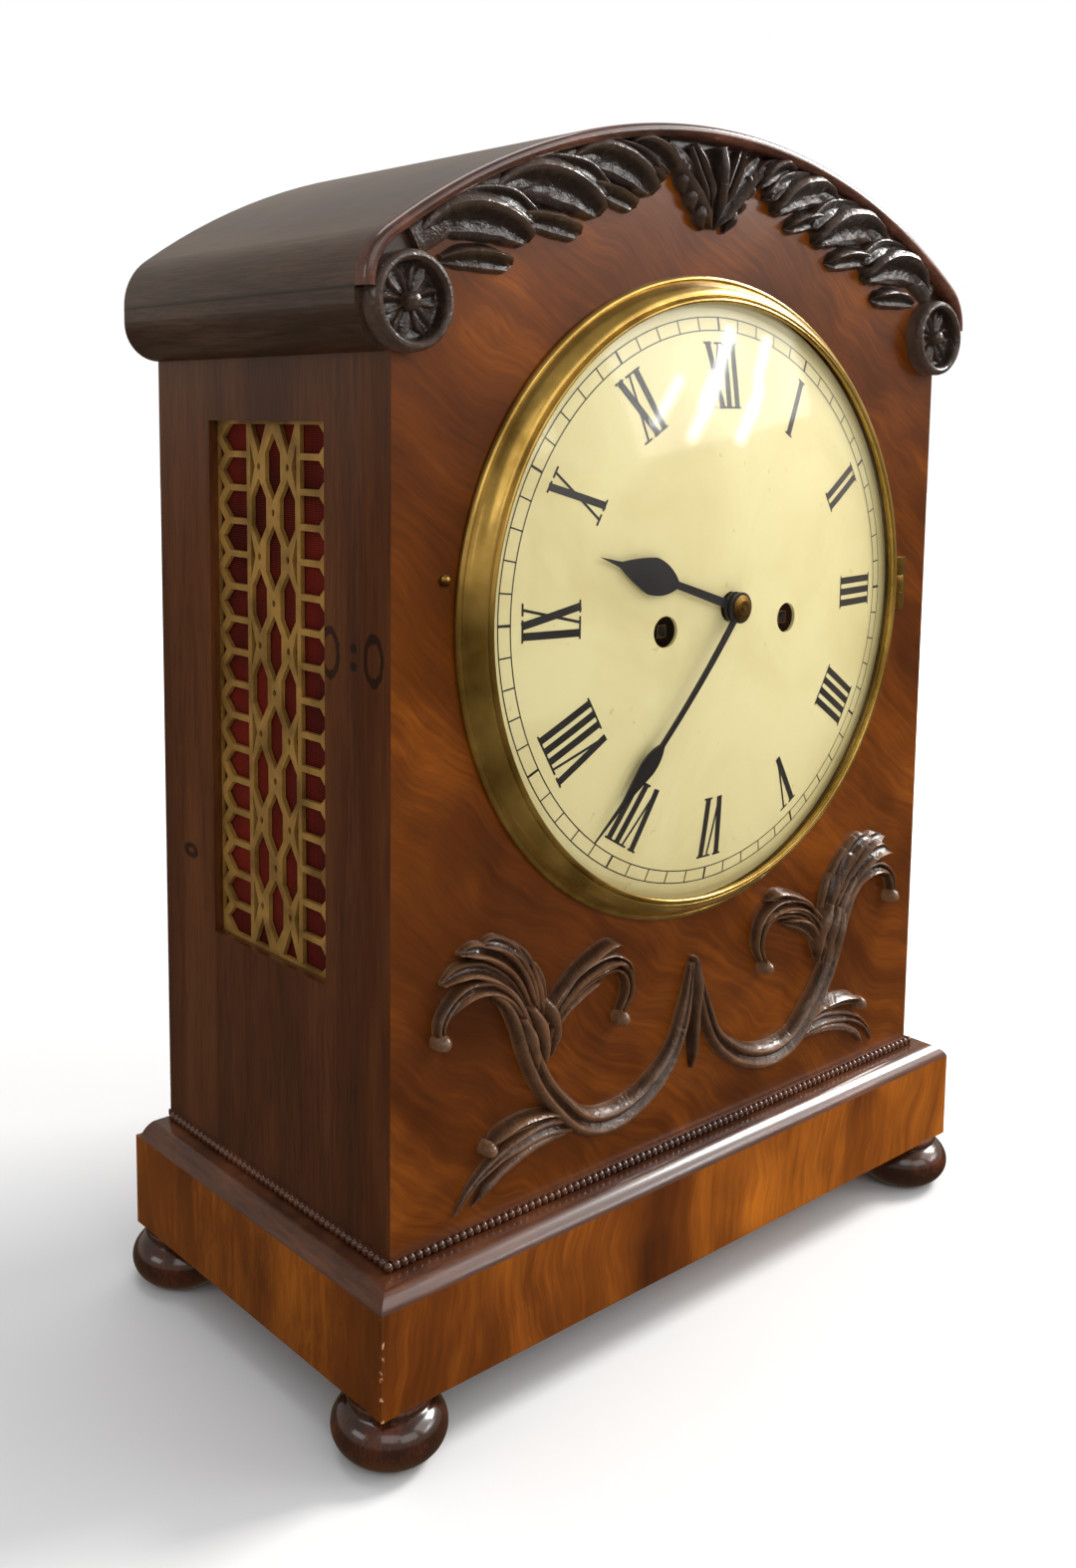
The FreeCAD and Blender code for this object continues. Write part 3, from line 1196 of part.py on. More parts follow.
# ------------------------------------------------------------------ plates
def make_plates():
    half = plate_width / 2
    low, high = dial_height - plate_below, dial_height + plate_above
    arbors = [third, escape, pin_place, gather_place, warn_place, fly_place, hammer_place, centre, pallet,
              (barrel_x, -barrel_drop), (-barrel_x, -barrel_drop)]
    for name, near in (("front_plate", front_plate_depth), ("back_plate", plate_rear)):
        y0, y1 = depth(near), depth(near + plate_thickness)
        plate = box(-half, half, y0, y1, low, high)
        front = name == "front_plate"
        holes = [(place, pivot_radius) for place in arbors]
        holes += [(place, winding_bearing_radius if front else pivot_radius) for place in (going, striking)]
        for (x, z), r in holes:
            plate = plate.cut(rod(r + pivot_clearance, x, dial_height + z, y0 - 1, y1 + 1))
        if front:
            x, z = minute_place[0], dial_height + minute_place[1]
            shoulder = rod(stud_shoulder_radius, x, z, depth(cannon_depth + motion_thickness + seat_gap), y0)
            stud = rod(stud_radius, x, z, depth(hour_wheel_depth - 2 * motion_thickness), y0)
            plate = fuse([plate, stud, shoulder])
        save(name, plate)
    pillars = []
    for x, z in pillar_places:
        pillars.append(rod(pillar_radius, x, dial_height + z, depth(plate_front), depth(plate_rear)))
    save("plate_pillars", Part.makeCompound(pillars))


def make_seat():
    low = dial_height - plate_below
    save("seat_board", box(-inner_half, inner_half, depth(front_thickness), depth(back_face + seat_overhang),
                           low - seat_thickness, low))


# ------------------------------------------------------------------ motion work and hands
hour_out = dial_crown + hand_lift           # back face of the hour hand in front of the panel, at the centre
minute_out = hour_out + hand_step
hour_tip_out = dial_out(hour_length) + tip_lift     # the hands follow the dial's curve under the glass
minute_tip_out = dial_out(minute_length) + tip_lift


def turn_hand(shape, minutes):
    shape = shape.copy()
    shape.rotate(V(0, 0, dial_height), V(0, 1, 0), minutes * 6.0)
    return shape


def make_motion_work():
    x, z = 0.0, dial_height
    module = motion_distance / motion_teeth
    fine = 2 * motion_distance / (motion_leaves + hour_teeth)
    toward = direction(centre, minute_place)
    away = direction(minute_place, centre)
    before = out(2 * minute_out)
    front, thick = cannon_depth - plate_front, motion_thickness
    cannon = gear(centre, motion_teeth, module, front, thick, toward)
    pipe = rod(cannon_pipe_radius, x, z, out(minute_out - running_gap), depth(cannon_depth))
    save("cannon_wheel", fuse([cannon, pipe]).cut(rod(pivot_radius, x, z, before, depth(plate_front))))
    wheel = gear(minute_place, motion_teeth, module, front, thick, gap_phase(motion_teeth, away))
    start = hour_wheel_depth - pinion_lead
    pinion = gear(minute_place, motion_leaves, fine, start - plate_front, cannon_depth - start, away)
    bore = rod(stud_radius + running_gap, minute_place[0], dial_height + minute_place[1], before, depth(plate_front))
    save("minute_wheel", fuse([wheel, pinion]).cut(bore))
    hour = gear(centre, hour_teeth, fine, hour_wheel_depth - plate_front, thick, gap_phase(hour_teeth, toward))
    sleeve = rod(pipe_radius + pipe_wall, x, z, out(hour_out - running_gap), depth(hour_wheel_depth))
    inner = rod(cannon_pipe_radius + running_gap, x, z, before, depth(plate_front))
    save("hour_wheel", fuse([hour, sleeve]).cut(inner))


def bent(outline, apex, edge, reach, thickness, bore):
    """Hand cut from a domed sheet: apex and edge are its distances in front of the panel at 0 and reach."""
    sag = apex - edge
    radius = (reach ** 2 + sag ** 2) / (2 * sag)
    middle = V(0, out(apex) + radius, dial_height)
    sheet = Part.makeSphere(radius + thickness, middle).cut(Part.makeSphere(radius, middle))
    blank = fuse([slab(outline, out(apex + 5), out(0)), rod(boss_radius, 0, dial_height, out(apex + 5), out(0))])
    return blank.common(sheet).cut(rod(bore, 0, dial_height, out(apex + 6), out(0) + 1))


def make_hands():
    z = dial_height
    length, bulb, half, stem = hour_length, hour_bulb, hour_bulb_half, hour_stem
    foot, neck, point = 1.6, 1.3, 1.0       # half widths of stem and tip
    lower, upper, tip = stem + 4.5, bulb + 7.5, length - 9.0
    outline = [(-foot, z), (-neck, z + stem), ((-half * 0.72, z + lower), (-half, z + bulb)),
               ((-half * 0.62, z + upper), (-point, z + tip)), (0, z + length),
               (point, z + tip), ((half * 0.62, z + upper), (half, z + bulb)),
               ((half * 0.72, z + lower), (neck, z + stem)), (foot, z)]
    hand = bent(outline, hour_out, hour_tip_out, length, hand_thickness, cannon_pipe_radius + 2 * seat_gap)
    save("hour_hand", turn_hand(hand, hours_shown * 5.0))
    length, wide, half, stem = minute_length, minute_leaf, minute_leaf_half, minute_stem
    foot, neck, point = 1.2, 0.9, 0.6
    lower, upper, tip = stem + 5.0, wide + 9.0, wide + 14.0
    outline = [(-foot, z), (-neck, z + stem), ((-half * 0.9, z + lower), (-half, z + wide)),
               ((-half * 0.5, z + upper), (-point, z + tip)), (0, z + length),
               (point, z + tip), ((half * 0.5, z + upper), (half, z + wide)),
               ((half * 0.9, z + lower), (neck, z + stem)), (foot, z)]
    hand = bent(outline, minute_out, minute_tip_out, length, hand_thickness, pivot_radius)
    save("minute_hand", turn_hand(hand, minutes_shown))
    top = minute_out + hand_thickness
    crest = top + collet_height
    collet = turned([(pivot_radius, out(top)), (collet_reach, out(top)), (collet_reach, out(top + collet_step)),
                     (0.56 * collet_reach, out(crest)), (pivot_radius, out(crest))], 0, z)
    save("hand_collet", collet)


os.makedirs("parts", exist_ok=True)
make_feet()
make_base()
make_hood()
make_carcass()
make_frets()
make_arch_carving()
make_rosettes()
make_scrolls()
make_dial()
make_bezel()
make_door()
make_plates()
make_seat()
make_going_train()
make_pallets()
make_pendulum()
make_back_cock()
make_striking_train()
make_bell()
make_hammer()
make_lines()
make_motion_work()
make_hands()
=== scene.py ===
import json
from math import asin, atan2, cos, exp, hypot, pi, radians, sin, sqrt

import bmesh
import bpy
from mathutils import Matrix, Vector


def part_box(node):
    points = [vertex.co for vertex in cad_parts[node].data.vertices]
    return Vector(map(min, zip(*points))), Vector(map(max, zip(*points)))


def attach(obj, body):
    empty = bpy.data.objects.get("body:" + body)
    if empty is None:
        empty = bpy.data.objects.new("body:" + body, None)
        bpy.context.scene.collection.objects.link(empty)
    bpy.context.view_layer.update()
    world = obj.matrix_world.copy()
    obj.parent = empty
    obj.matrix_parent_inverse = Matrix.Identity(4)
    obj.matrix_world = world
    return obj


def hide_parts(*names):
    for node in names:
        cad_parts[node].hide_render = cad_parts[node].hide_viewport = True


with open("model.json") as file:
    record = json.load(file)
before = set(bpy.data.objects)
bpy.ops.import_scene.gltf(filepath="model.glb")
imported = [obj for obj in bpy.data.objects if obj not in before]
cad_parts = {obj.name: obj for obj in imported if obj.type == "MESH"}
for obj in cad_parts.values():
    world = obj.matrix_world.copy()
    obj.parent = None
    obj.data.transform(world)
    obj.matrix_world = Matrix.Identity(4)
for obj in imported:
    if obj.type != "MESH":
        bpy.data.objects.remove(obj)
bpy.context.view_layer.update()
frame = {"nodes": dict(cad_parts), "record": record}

MM = 0.001


# ---------------------------------------------------------------- places taken from the frame
def span(node):
    low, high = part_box(node)
    return Vector(low), Vector(high)


panel_low, panel_high = span("front_panel")
face_y = panel_low.y                        # the front panel's face
half_width = panel_high.x
bezel_low, bezel_high = span("bezel")
dial_low, dial_high = span("dial")
dial_z = (dial_low.z + dial_high.z) / 2
dial_radius = dial_high.x
crown_z = span("roof_shell")[1].z
hood_half = span("roof_shell")[1].x
springing_z = span("roof_shell")[0].z
plinth_low = span("plinth")[0]


# ---------------------------------------------------------------- node helpers
def srgb(red, green, blue):
    """Linear colour of an 8-bit screen colour."""
    def linear(value):
        value /= 255.0
        return value / 12.92 if value <= 0.04045 else ((value + 0.055) / 1.055) ** 2.4
    return (linear(red), linear(green), linear(blue), 1.0)


class Tree:
    """Short hand for building a node tree; an input named i0 or i1 is found by its number."""

    def __init__(self, owner):
        owner.use_nodes = True
        self.tree = owner.node_tree
        self.tree.nodes.clear()

    def add(self, kind, settings=None, **inputs):
        node = self.tree.nodes.new("ShaderNode" + kind)
        for key, value in (settings or {}).items():
            setattr(node, key, value)
        for key, value in inputs.items():
            name = key.replace("_", " ")
            numbered = name[0] == "i" and name[1:].isdigit()
            socket = node.inputs[int(name[1:]) if numbered else name]
            if isinstance(value, bpy.types.NodeSocket):
                self.tree.links.new(value, socket)
            else:
                socket.default_value = value
        return node

    def math(self, operation, a, b=0.0):
        return self.add("Math", {"operation": operation}, i0=a, i1=b).outputs[0]

    def ramp(self, factor, stops):
        node = self.add("ValToRGB", None, Fac=factor)
        points = node.color_ramp.elements
        while len(points) < len(stops):
            points.new(0.5)
        for point, (place, colour) in zip(points, stops):
            point.position = place
            point.color = colour
        return node.outputs["Color"]

    def mix(self, factor, a, b, blend="MIX"):
        node = self.add("Mix", {"data_type": "RGBA", "blend_type": blend})
        for socket, value in ((node.inputs[0], factor), (node.inputs[6], a), (node.inputs[7], b)):
            if isinstance(value, bpy.types.NodeSocket):
                self.tree.links.new(value, socket)
            else:
                socket.default_value = value
        return node.outputs[2]

    def noise(self, vector, scale, detail=4.0, rough=0.55, twist=0.0):
        return self.add("TexNoise", None, Vector=vector, Scale=scale, Detail=detail, Roughness=rough,
                        Distortion=twist).outputs["Fac"]

    def place(self, scale=(1, 1, 1)):
        where = self.add("TexCoord").outputs["Object"]
        return self.add("Mapping", None, Vector=where, Scale=scale).outputs[0]

    def finish(self, shader):
        self.tree.links.new(shader.outputs[0], self.add("OutputMaterial").inputs["Surface"])


def grey(value):
    return (value, value, value, 1)


def new_material(name):
    material = bpy.data.materials.new(name)
    return material, Tree(material)


# ---------------------------------------------------------------- materials
stain_tone = srgb(20, 9, 6)
seam_tone = srgb(12, 7, 5)
chip_tone = srgb(186, 146, 106)
seam_half = 0.00045                         # half the width of the seam line
chip_reach = 0.0010                         # how far the chips reach from the plinth's edge


def stained(tree, colour, marks):
    """Dark stains on the left side: ovals round y, z whose middle stays clear up to the share hole."""
    for y, z, wide, tall, hole in marks:
        where = tree.add("SeparateXYZ", None, Vector=tree.place())
        across = tree.math("DIVIDE", tree.math("SUBTRACT", where.outputs["Y"], y), wide)
        up = tree.math("DIVIDE", tree.math("SUBTRACT", where.outputs["Z"], z), tall)
        reach = tree.math("SQRT", tree.math("ADD", tree.math("POWER", tree.math("ABSOLUTE", across), 2.0),
                                            tree.math("POWER", tree.math("ABSOLUTE", up), 2.0)))
        rough_edge = tree.math("MULTIPLY", tree.noise(tree.place((300, 300, 300)), 1.0, 2.0), 0.3)
        reach = tree.math("ADD", reach, rough_edge)
        inside = tree.math("MULTIPLY", tree.math("LESS_THAN", reach, 1.15),
                           tree.math("GREATER_THAN", reach, hole))
        left = tree.math("LESS_THAN", where.outputs["X"], 0.0)
        share = tree.math("MULTIPLY", tree.math("MULTIPLY", inside, left), 0.8)
        colour = tree.mix(share, colour, stain_tone)
    return colour


def wood(name, dark, middle, light, along, figure, rough=0.32, coat=0.55, coat_rough=0.12, bump=0.06,
         worn_and_highlit=None, marks=(), seam=None, chisel=0.0):
    """Polished wood: broad figure, fine fibres along the grain, small pores, a clear coat of polish.

    Along and figure scale the fibres and the figure; worn_and_highlit is the tone of the carved ridges, partly
    rubbed polish and partly a painted highlight, seam the height of a dark joint line, and chisel the depth of
    the carver's tool marks.
    """
    material, tree = new_material(name)
    fibre = 0.35
    broad = tree.noise(tree.place(figure), 1.0, 5.0, 0.6, 1.2)
    grain = tree.place(tuple(700 * a for a in along))
    fine = tree.noise(grain, 1.0, 6.0, 0.7, 0.2)
    pores = tree.noise(tree.place(tuple(1700 * a for a in along)), 1.0, 2.0, 0.5)
    value = tree.math("ADD", tree.math("MULTIPLY", broad, 1.0 - fibre), tree.math("MULTIPLY", fine, fibre))
    colour = tree.ramp(value, [(0.33, dark), (0.5, middle), (0.66, light)])
    pore = tree.ramp(pores, [(0.36, (0.45, 0.4, 0.4, 1)), (0.46, grey(1))])
    colour = tree.mix(0.6, colour, pore, "MULTIPLY")
    # ridges found by pointiness get a lighter tone: partly rubbed polish, partly a painted highlight
    if worn_and_highlit:
        ridge = tree.add("NewGeometry").outputs["Pointiness"]
        ridge = tree.ramp(ridge, [(0.5, grey(0)), (0.53, grey(0.3)), (0.6, grey(0.75))])
        rubbed_and_highlit = tree.math("MULTIPLY", ridge, tree.noise(tree.place((90, 90, 90)), 1.0, 3.0))
        colour = tree.mix(rubbed_and_highlit, colour, worn_and_highlit)
    if seam:
        height = tree.add("SeparateXYZ", None, Vector=tree.place()).outputs["Z"]
        line = tree.math("COMPARE", height, seam)
        line.node.inputs[2].default_value = seam_half
        colour = tree.mix(tree.math("MULTIPLY", line, 0.75), colour, seam_tone)
    colour = stained(tree, colour, marks)
    uneven = tree.noise(tree.place((25, 25, 25)), 1.0, 3.0)
    roughness = tree.add("MapRange", None, Value=uneven, To_Min=rough - 0.08, To_Max=rough + 0.1).outputs[0]
    height = tree.math("ADD", tree.math("MULTIPLY", fine, 0.6), tree.math("MULTIPLY", pores, 0.4))
    relief = tree.add("Bump", None, Strength=bump, Distance=0.0006, Height=height).outputs[0]
    finish = {}
    if chisel:
        cuts = tree.noise(tree.place((230, 230, 230)), 1.0, 3.0, 0.6, 0.8)
        relief = tree.add("Bump", None, Strength=chisel, Distance=0.0012, Height=cuts,
                          Normal=relief).outputs[0]
        finish["Coat_Normal"] = relief
    shader = tree.add("BsdfPrincipled", None, Base_Color=colour, Roughness=roughness, Normal=relief,
                      Specular_IOR_Level=0.25, Coat_Weight=coat, Coat_Roughness=coat_rough, **finish)
    tree.finish(shader)
    return material


def flame(name, dark, middle, light, lean, figure=(30, 30, 9), patch=(13, 13, 9), side=None, marks=(),
          chips=None):
    """Flame veneer: soft patches crossed by feathered streaks and fine fibres that lean together.

    Side holds the plain tones of the board's own edge, and chips the x and y of a chipped corner.
    """
    material, tree = new_material(name)
    straight = tree.place()
    drift = tree.noise(straight, 16.0, 2.0, 0.5)
    bent = tree.add("VectorMath", {"operation": "MULTIPLY_ADD"}, i0=tree.add(
        "CombineXYZ", None, X=drift, Z=drift).outputs[0], i1=(0.035, 0, 0.02), i2=straight).outputs[0]

    def along(scale):
        turned = tree.add("Mapping", None, Vector=bent, Rotation=(0, lean, 0))
        return tree.add("Mapping", None, Vector=turned.outputs[0], Scale=scale).outputs[0]

    clouds = tree.noise(along(patch), 1.0, 3.0, 0.55, 0.5)
    streaks = tree.noise(along(figure), 1.0, 5.0, 0.65, 0.5)
    fine = tree.noise(along((430, 430, 26)), 1.0, 5.0, 0.75)
    value = tree.math("ADD", tree.math("MULTIPLY", clouds, 0.42), tree.math("MULTIPLY", streaks, 0.34))
    value = tree.math("ADD", value, tree.math("MULTIPLY", fine, 0.24))
    colour = tree.ramp(value, [(0.34, dark), (0.5, middle), (0.67, light)])
    shade = tree.ramp(tree.noise(straight, 11.0, 3.0, 0.5), [(0.38, (0.62, 0.58, 0.6, 1)), (0.6, grey(1))])
    colour = tree.mix(1.0, colour, shade, "MULTIPLY")
    if side:
        grain = tree.noise(tree.place((22, 22, 2)), 1.0, 5.0, 0.6, 1.2)
        thread = tree.noise(tree.place((700, 700, 28)), 1.0, 6.0, 0.7)
        mixed = tree.math("ADD", tree.math("MULTIPLY", grain, 0.65), tree.math("MULTIPLY", thread, 0.35))
        plain = stained(tree, tree.ramp(mixed, [(0.33, side[0]), (0.5, side[1]), (0.66, side[2])]), marks)
        normal = tree.add("SeparateXYZ", None, Vector=tree.add("TexCoord").outputs["Normal"])
        sideways = tree.math("GREATER_THAN", tree.math("ABSOLUTE", normal.outputs["X"]), 0.5)
        colour = tree.mix(sideways, colour, plain)
    if chips:
        where = tree.add("SeparateXYZ", None, Vector=straight)
        near = tree.math("MULTIPLY", tree.math("LESS_THAN", where.outputs["X"], chips[0] + chip_reach),
                         tree.math("LESS_THAN", where.outputs["Y"], chips[1] + chip_reach))
        flakes = tree.math("GREATER_THAN", tree.noise(tree.place((420, 420, 420)), 1.0, 3.0), 0.62)
        colour = tree.mix(tree.math("MULTIPLY", near, flakes), colour, chip_tone)
    uneven = tree.noise(tree.place((18, 18, 18)), 1.0, 3.0)
    rough = 0.3
    roughness = tree.add("MapRange", None, Value=uneven, To_Min=rough - 0.08, To_Max=rough + 0.1).outputs[0]
    relief = tree.add("Bump", None, Strength=0.05, Distance=0.0005, Height=fine).outputs[0]
    shader = tree.add("BsdfPrincipled", None, Base_Color=colour, Roughness=roughness, Normal=relief,
                      Specular_IOR_Level=0.12, Coat_Weight=0.6, Coat_Roughness=0.16)
    tree.finish(shader)
    return material


def metal(name, dark, light, rough, spots, streak=(1, 1, 1), bright=1.0):
    """Worked metal with toned patches and fine scratches; bright is its metallic share."""
    material, tree = new_material(name)
    patches = tree.noise(tree.place((spots, spots, spots)), 1.0, 5.0, 0.6)
    scratch = tree.noise(tree.place(tuple(900 * s for s in streak)), 1.0, 3.0, 0.6)
    colour = tree.ramp(patches, [(0.35, dark), (0.62, light)])
    roughness = tree.add("MapRange", None, Value=patches, To_Min=rough + 0.12, To_Max=rough - 0.08).outputs[0]
    relief = tree.add("Bump", None, Strength=0.03, Distance=0.0002, Height=scratch).outputs[0]
    shader = tree.add("BsdfPrincipled", None, Base_Color=colour, Metallic=bright, Roughness=roughness,
                      Normal=relief)
    tree.finish(shader)
    return material


def paint(name, base, stain, rough=0.42):
    """Old paint with soft stains and small specks."""
    material, tree = new_material(name)
    cloud = tree.noise(tree.place((16, 16, 16)), 1.0, 5.0, 0.6, 0.6)
    speck = tree.noise(tree.place((260, 260, 260)), 1.0, 2.0)
    colour = tree.ramp(cloud, [(0.35, stain), (0.6, base)])
    dots = tree.ramp(speck, [(0.24, (0.7, 0.62, 0.45, 1)), (0.3, grey(1))])
    colour = tree.mix(0.5, colour, dots, "MULTIPLY")
    relief = tree.add("Bump", None, Strength=0.04, Distance=0.0003, Height=cloud).outputs[0]
    roughness = tree.add("MapRange", None, Value=cloud, To_Min=rough + 0.08, To_Max=rough - 0.05).outputs[0]
    tree.finish(tree.add("BsdfPrincipled", None, Base_Color=colour, Roughness=roughness, Normal=relief))
    return material


def glass(name):
    """Clear glass seen through, brighter with reflections towards its edges."""
    material, tree = new_material(name)
    facing = tree.add("LayerWeight", None, Blend=0.5).outputs["Facing"]
    edge = tree.math("ADD", tree.math("MULTIPLY", tree.math("POWER", facing, 4.0), 0.45), 0.024)
    ripple = tree.noise(tree.place((12, 12, 12)), 1.0, 1.0)
    relief = tree.add("Bump", None, Strength=0.02, Distance=0.002, Height=ripple).outputs[0]
    smear = tree.add("MapRange", None, Value=ripple, To_Min=0.05, To_Max=0.1).outputs[0]
    tint = tree.ramp(ripple, [(0.3, (0.93, 0.95, 0.93, 1)), (0.7, (0.98, 0.99, 0.97, 1))])
    shader = tree.add("BsdfPrincipled", None, Base_Color=tint, Metallic=1.0, Roughness=smear,
                      Normal=relief, Alpha=edge)
    tree.finish(shader)
    return material


def cloth(name, dark, light):
    """Woven silk behind the fret."""
    material, tree = new_material(name)
    warp, weft = (tree.add("TexWave", {"bands_direction": way}, Vector=tree.place(), Scale=420.0,
                           Distortion=0.6).outputs["Fac"] for way in ("Y", "Z"))
    weave = tree.math("MULTIPLY", warp, weft)
    fade = tree.noise(tree.place((22, 22, 22)), 1.0, 4.0)
    colour = tree.ramp(tree.math("ADD", tree.math("MULTIPLY", weave, 0.4), tree.math("MULTIPLY", fade, 0.6)),
                       [(0.25, dark), (0.65, light)])
    relief = tree.add("Bump", None, Strength=0.4, Distance=0.0003, Height=weave).outputs[0]
    tree.finish(tree.add("BsdfPrincipled", None, Base_Color=colour, Roughness=0.9, Normal=relief,
                         Specular_IOR_Level=0.1))
    return material


lock_z = 0.2545                             # height of the stains on the left side, near its front edge
side_marks = [(face_y + 0.0320, lock_z, 0.0055, 0.0085, 0.82),
              (face_y + 0.0087, lock_z, 0.0052, 0.0085, 0.82),
              (face_y + 0.0192, lock_z + 0.0028, 0.0018, 0.0016, 0.0),
              (face_y + 0.0192, lock_z - 0.0030, 0.0018, 0.0016, 0.0),
              (face_y + 0.1213, 0.170, 0.0050, 0.0028, 0.5)]

side_tones = (srgb(46, 20, 7), srgb(70, 35, 14), srgb(98, 54, 24))
looks = {
    "roof_wood": wood("roof_wood", srgb(32, 20, 13), srgb(52, 35, 25), srgb(82, 60, 44), (1, 0.05, 1),
                      (12, 2.5, 12), rough=0.36, coat=0.6, coat_rough=0.24, seam=springing_z),
    "fillet_wood": wood("fillet_wood", srgb(44, 24, 17), srgb(70, 38, 26), srgb(106, 62, 44), (0.2, 1, 1),
                        (20, 20, 20), rough=0.3, coat=0.7),
    "front_veneer": flame("front_veneer", srgb(60, 25, 2), srgb(98, 47, 3), srgb(154, 82, 6), lean=0.95,
                          side=side_tones, marks=side_marks),
    "side_wood": wood("side_wood", *side_tones, (1, 1, 0.04), (22, 22, 2),
                      rough=0.32, coat=0.5, coat_rough=0.2, marks=side_marks),
    "plinth_veneer": flame("plinth_veneer", srgb(62, 27, 3), srgb(116, 58, 4), srgb(182, 102, 14), lean=-0.12,
                           figure=(30, 30, 7), patch=(18, 18, 9), chips=(plinth_low.x, plinth_low.y)),
    "moulding_wood": wood("moulding_wood", srgb(46, 22, 11), srgb(78, 41, 21), srgb(118, 68, 38),
                          (0.05, 0.05, 1), (4, 4, 20), rough=0.3, coat=0.75, coat_rough=0.15),
    "foot_wood": wood("foot_wood", srgb(30, 15, 9), srgb(50, 26, 15), srgb(92, 42, 20),
                      (1, 1, 0.3), (26, 26, 26), rough=0.24, coat=0.9),
    # the carvings' ridges get a lighter tone, partly rubbed polish and partly a painted highlight
    "carved_wood": wood("carved_wood", srgb(16, 11, 9), srgb(32, 22, 17), srgb(52, 38, 30), (0.3, 1, 1),
                        (30, 30, 30), rough=0.32, coat=0.55, coat_rough=0.16, bump=0.15, chisel=0.55,
                        worn_and_highlit=srgb(120, 96, 82)),
    "scroll_wood": wood("scroll_wood", srgb(30, 17, 9), srgb(56, 34, 20), srgb(84, 54, 34), (0.3, 1, 1),
                        (30, 30, 30), rough=0.34, coat=0.45, coat_rough=0.16, bump=0.15, chisel=0.55,
                        worn_and_highlit=srgb(176, 128, 90)),
    "inner_wood": wood("inner_wood", srgb(70, 42, 22), srgb(104, 66, 38), srgb(138, 92, 56), (0.05, 1, 1),
                       (3, 14, 14), rough=0.5, coat=0.1),
    "fret_brass": metal("fret_brass", srgb(120, 88, 38), srgb(176, 134, 66), 0.38, 60, bright=0.35),
    "fret_cloth": cloth("fret_cloth", srgb(30, 7, 4), srgb(120, 30, 14)),
    "dial_paint": paint("dial_paint", srgb(222, 211, 156), srgb(210, 196, 138)),
    "bezel_brass": metal("bezel_brass", srgb(132, 102, 40), srgb(204, 168, 88), 0.22, 26, bright=0.8),
    "fitting_brass": metal("fitting_brass", srgb(112, 84, 36), srgb(176, 140, 72), 0.34, 80),
    "clear_glass": glass("clear_glass"),
    "numeral_black": paint("numeral_black", srgb(26, 24, 24), srgb(44, 40, 38), rough=0.5),
    "blued_steel": paint("blued_steel", srgb(34, 32, 36), srgb(20, 19, 24), rough=0.42),
    "plate_brass": metal("plate_brass", srgb(150, 116, 54), srgb(206, 170, 92), 0.34, 24, (1, 1, 0.05)),
    "wheel_brass": metal("wheel_brass", srgb(158, 122, 54), srgb(214, 178, 96), 0.3, 40),
    "dark_steel": metal("dark_steel", srgb(30, 30, 32), srgb(84, 82, 80), 0.36, 400),
    "steel": metal("steel", srgb(96, 96, 100), srgb(176, 178, 182), 0.28, 60, (1, 1, 0.05)),
    "bell_metal": metal("bell_metal", srgb(160, 132, 72), srgb(216, 190, 124), 0.2, 30, (1, 1, 6)),
    "gut": wood("gut", srgb(110, 80, 44), srgb(150, 112, 66), srgb(180, 140, 90), (1, 1, 0.2), (60, 60, 60),
                rough=0.6, coat=0.0),
}
slot_of = {part["node"]: part["material_slot"] for part in frame["record"]["subparts"]}
for node_name, node_object in frame["nodes"].items():
    look = looks[slot_of[node_name]]
    if not node_object.material_slots:
        node_object.data.materials.append(look)
    for material_slot in node_object.material_slots:
        material_slot.material = look


# ---------------------------------------------------------------- mesh helpers, all in millimetres
def spread_line(points, steps):
    """Smooth line through the points, with this many steps between two of them."""
    line = []
    last = len(points) - 1
    for k in range(last):
        a, b, c, d = points[max(k - 1, 0)], points[k], points[k + 1], points[min(k + 2, last)]
        for step in range(steps):
            t = step / steps
            line.append(tuple(0.5 * (2 * q + (r - p) * t + (2 * p - 5 * q + 4 * r - s) * t * t
                                     + (3 * q - p - 3 * r + s) * t ** 3) for p, q, r, s in zip(a, b, c, d)))
    line.append(tuple(points[-1]))
    return line


def eased(values, share):
    """Value at this share of a list, eased between its entries."""
    place = share * (len(values) - 1)
    k = min(int(place), len(values) - 2)
    t = place - k
    t = t * t * (3 - 2 * t)
    return values[k] + (values[k + 1] - values[k]) * t


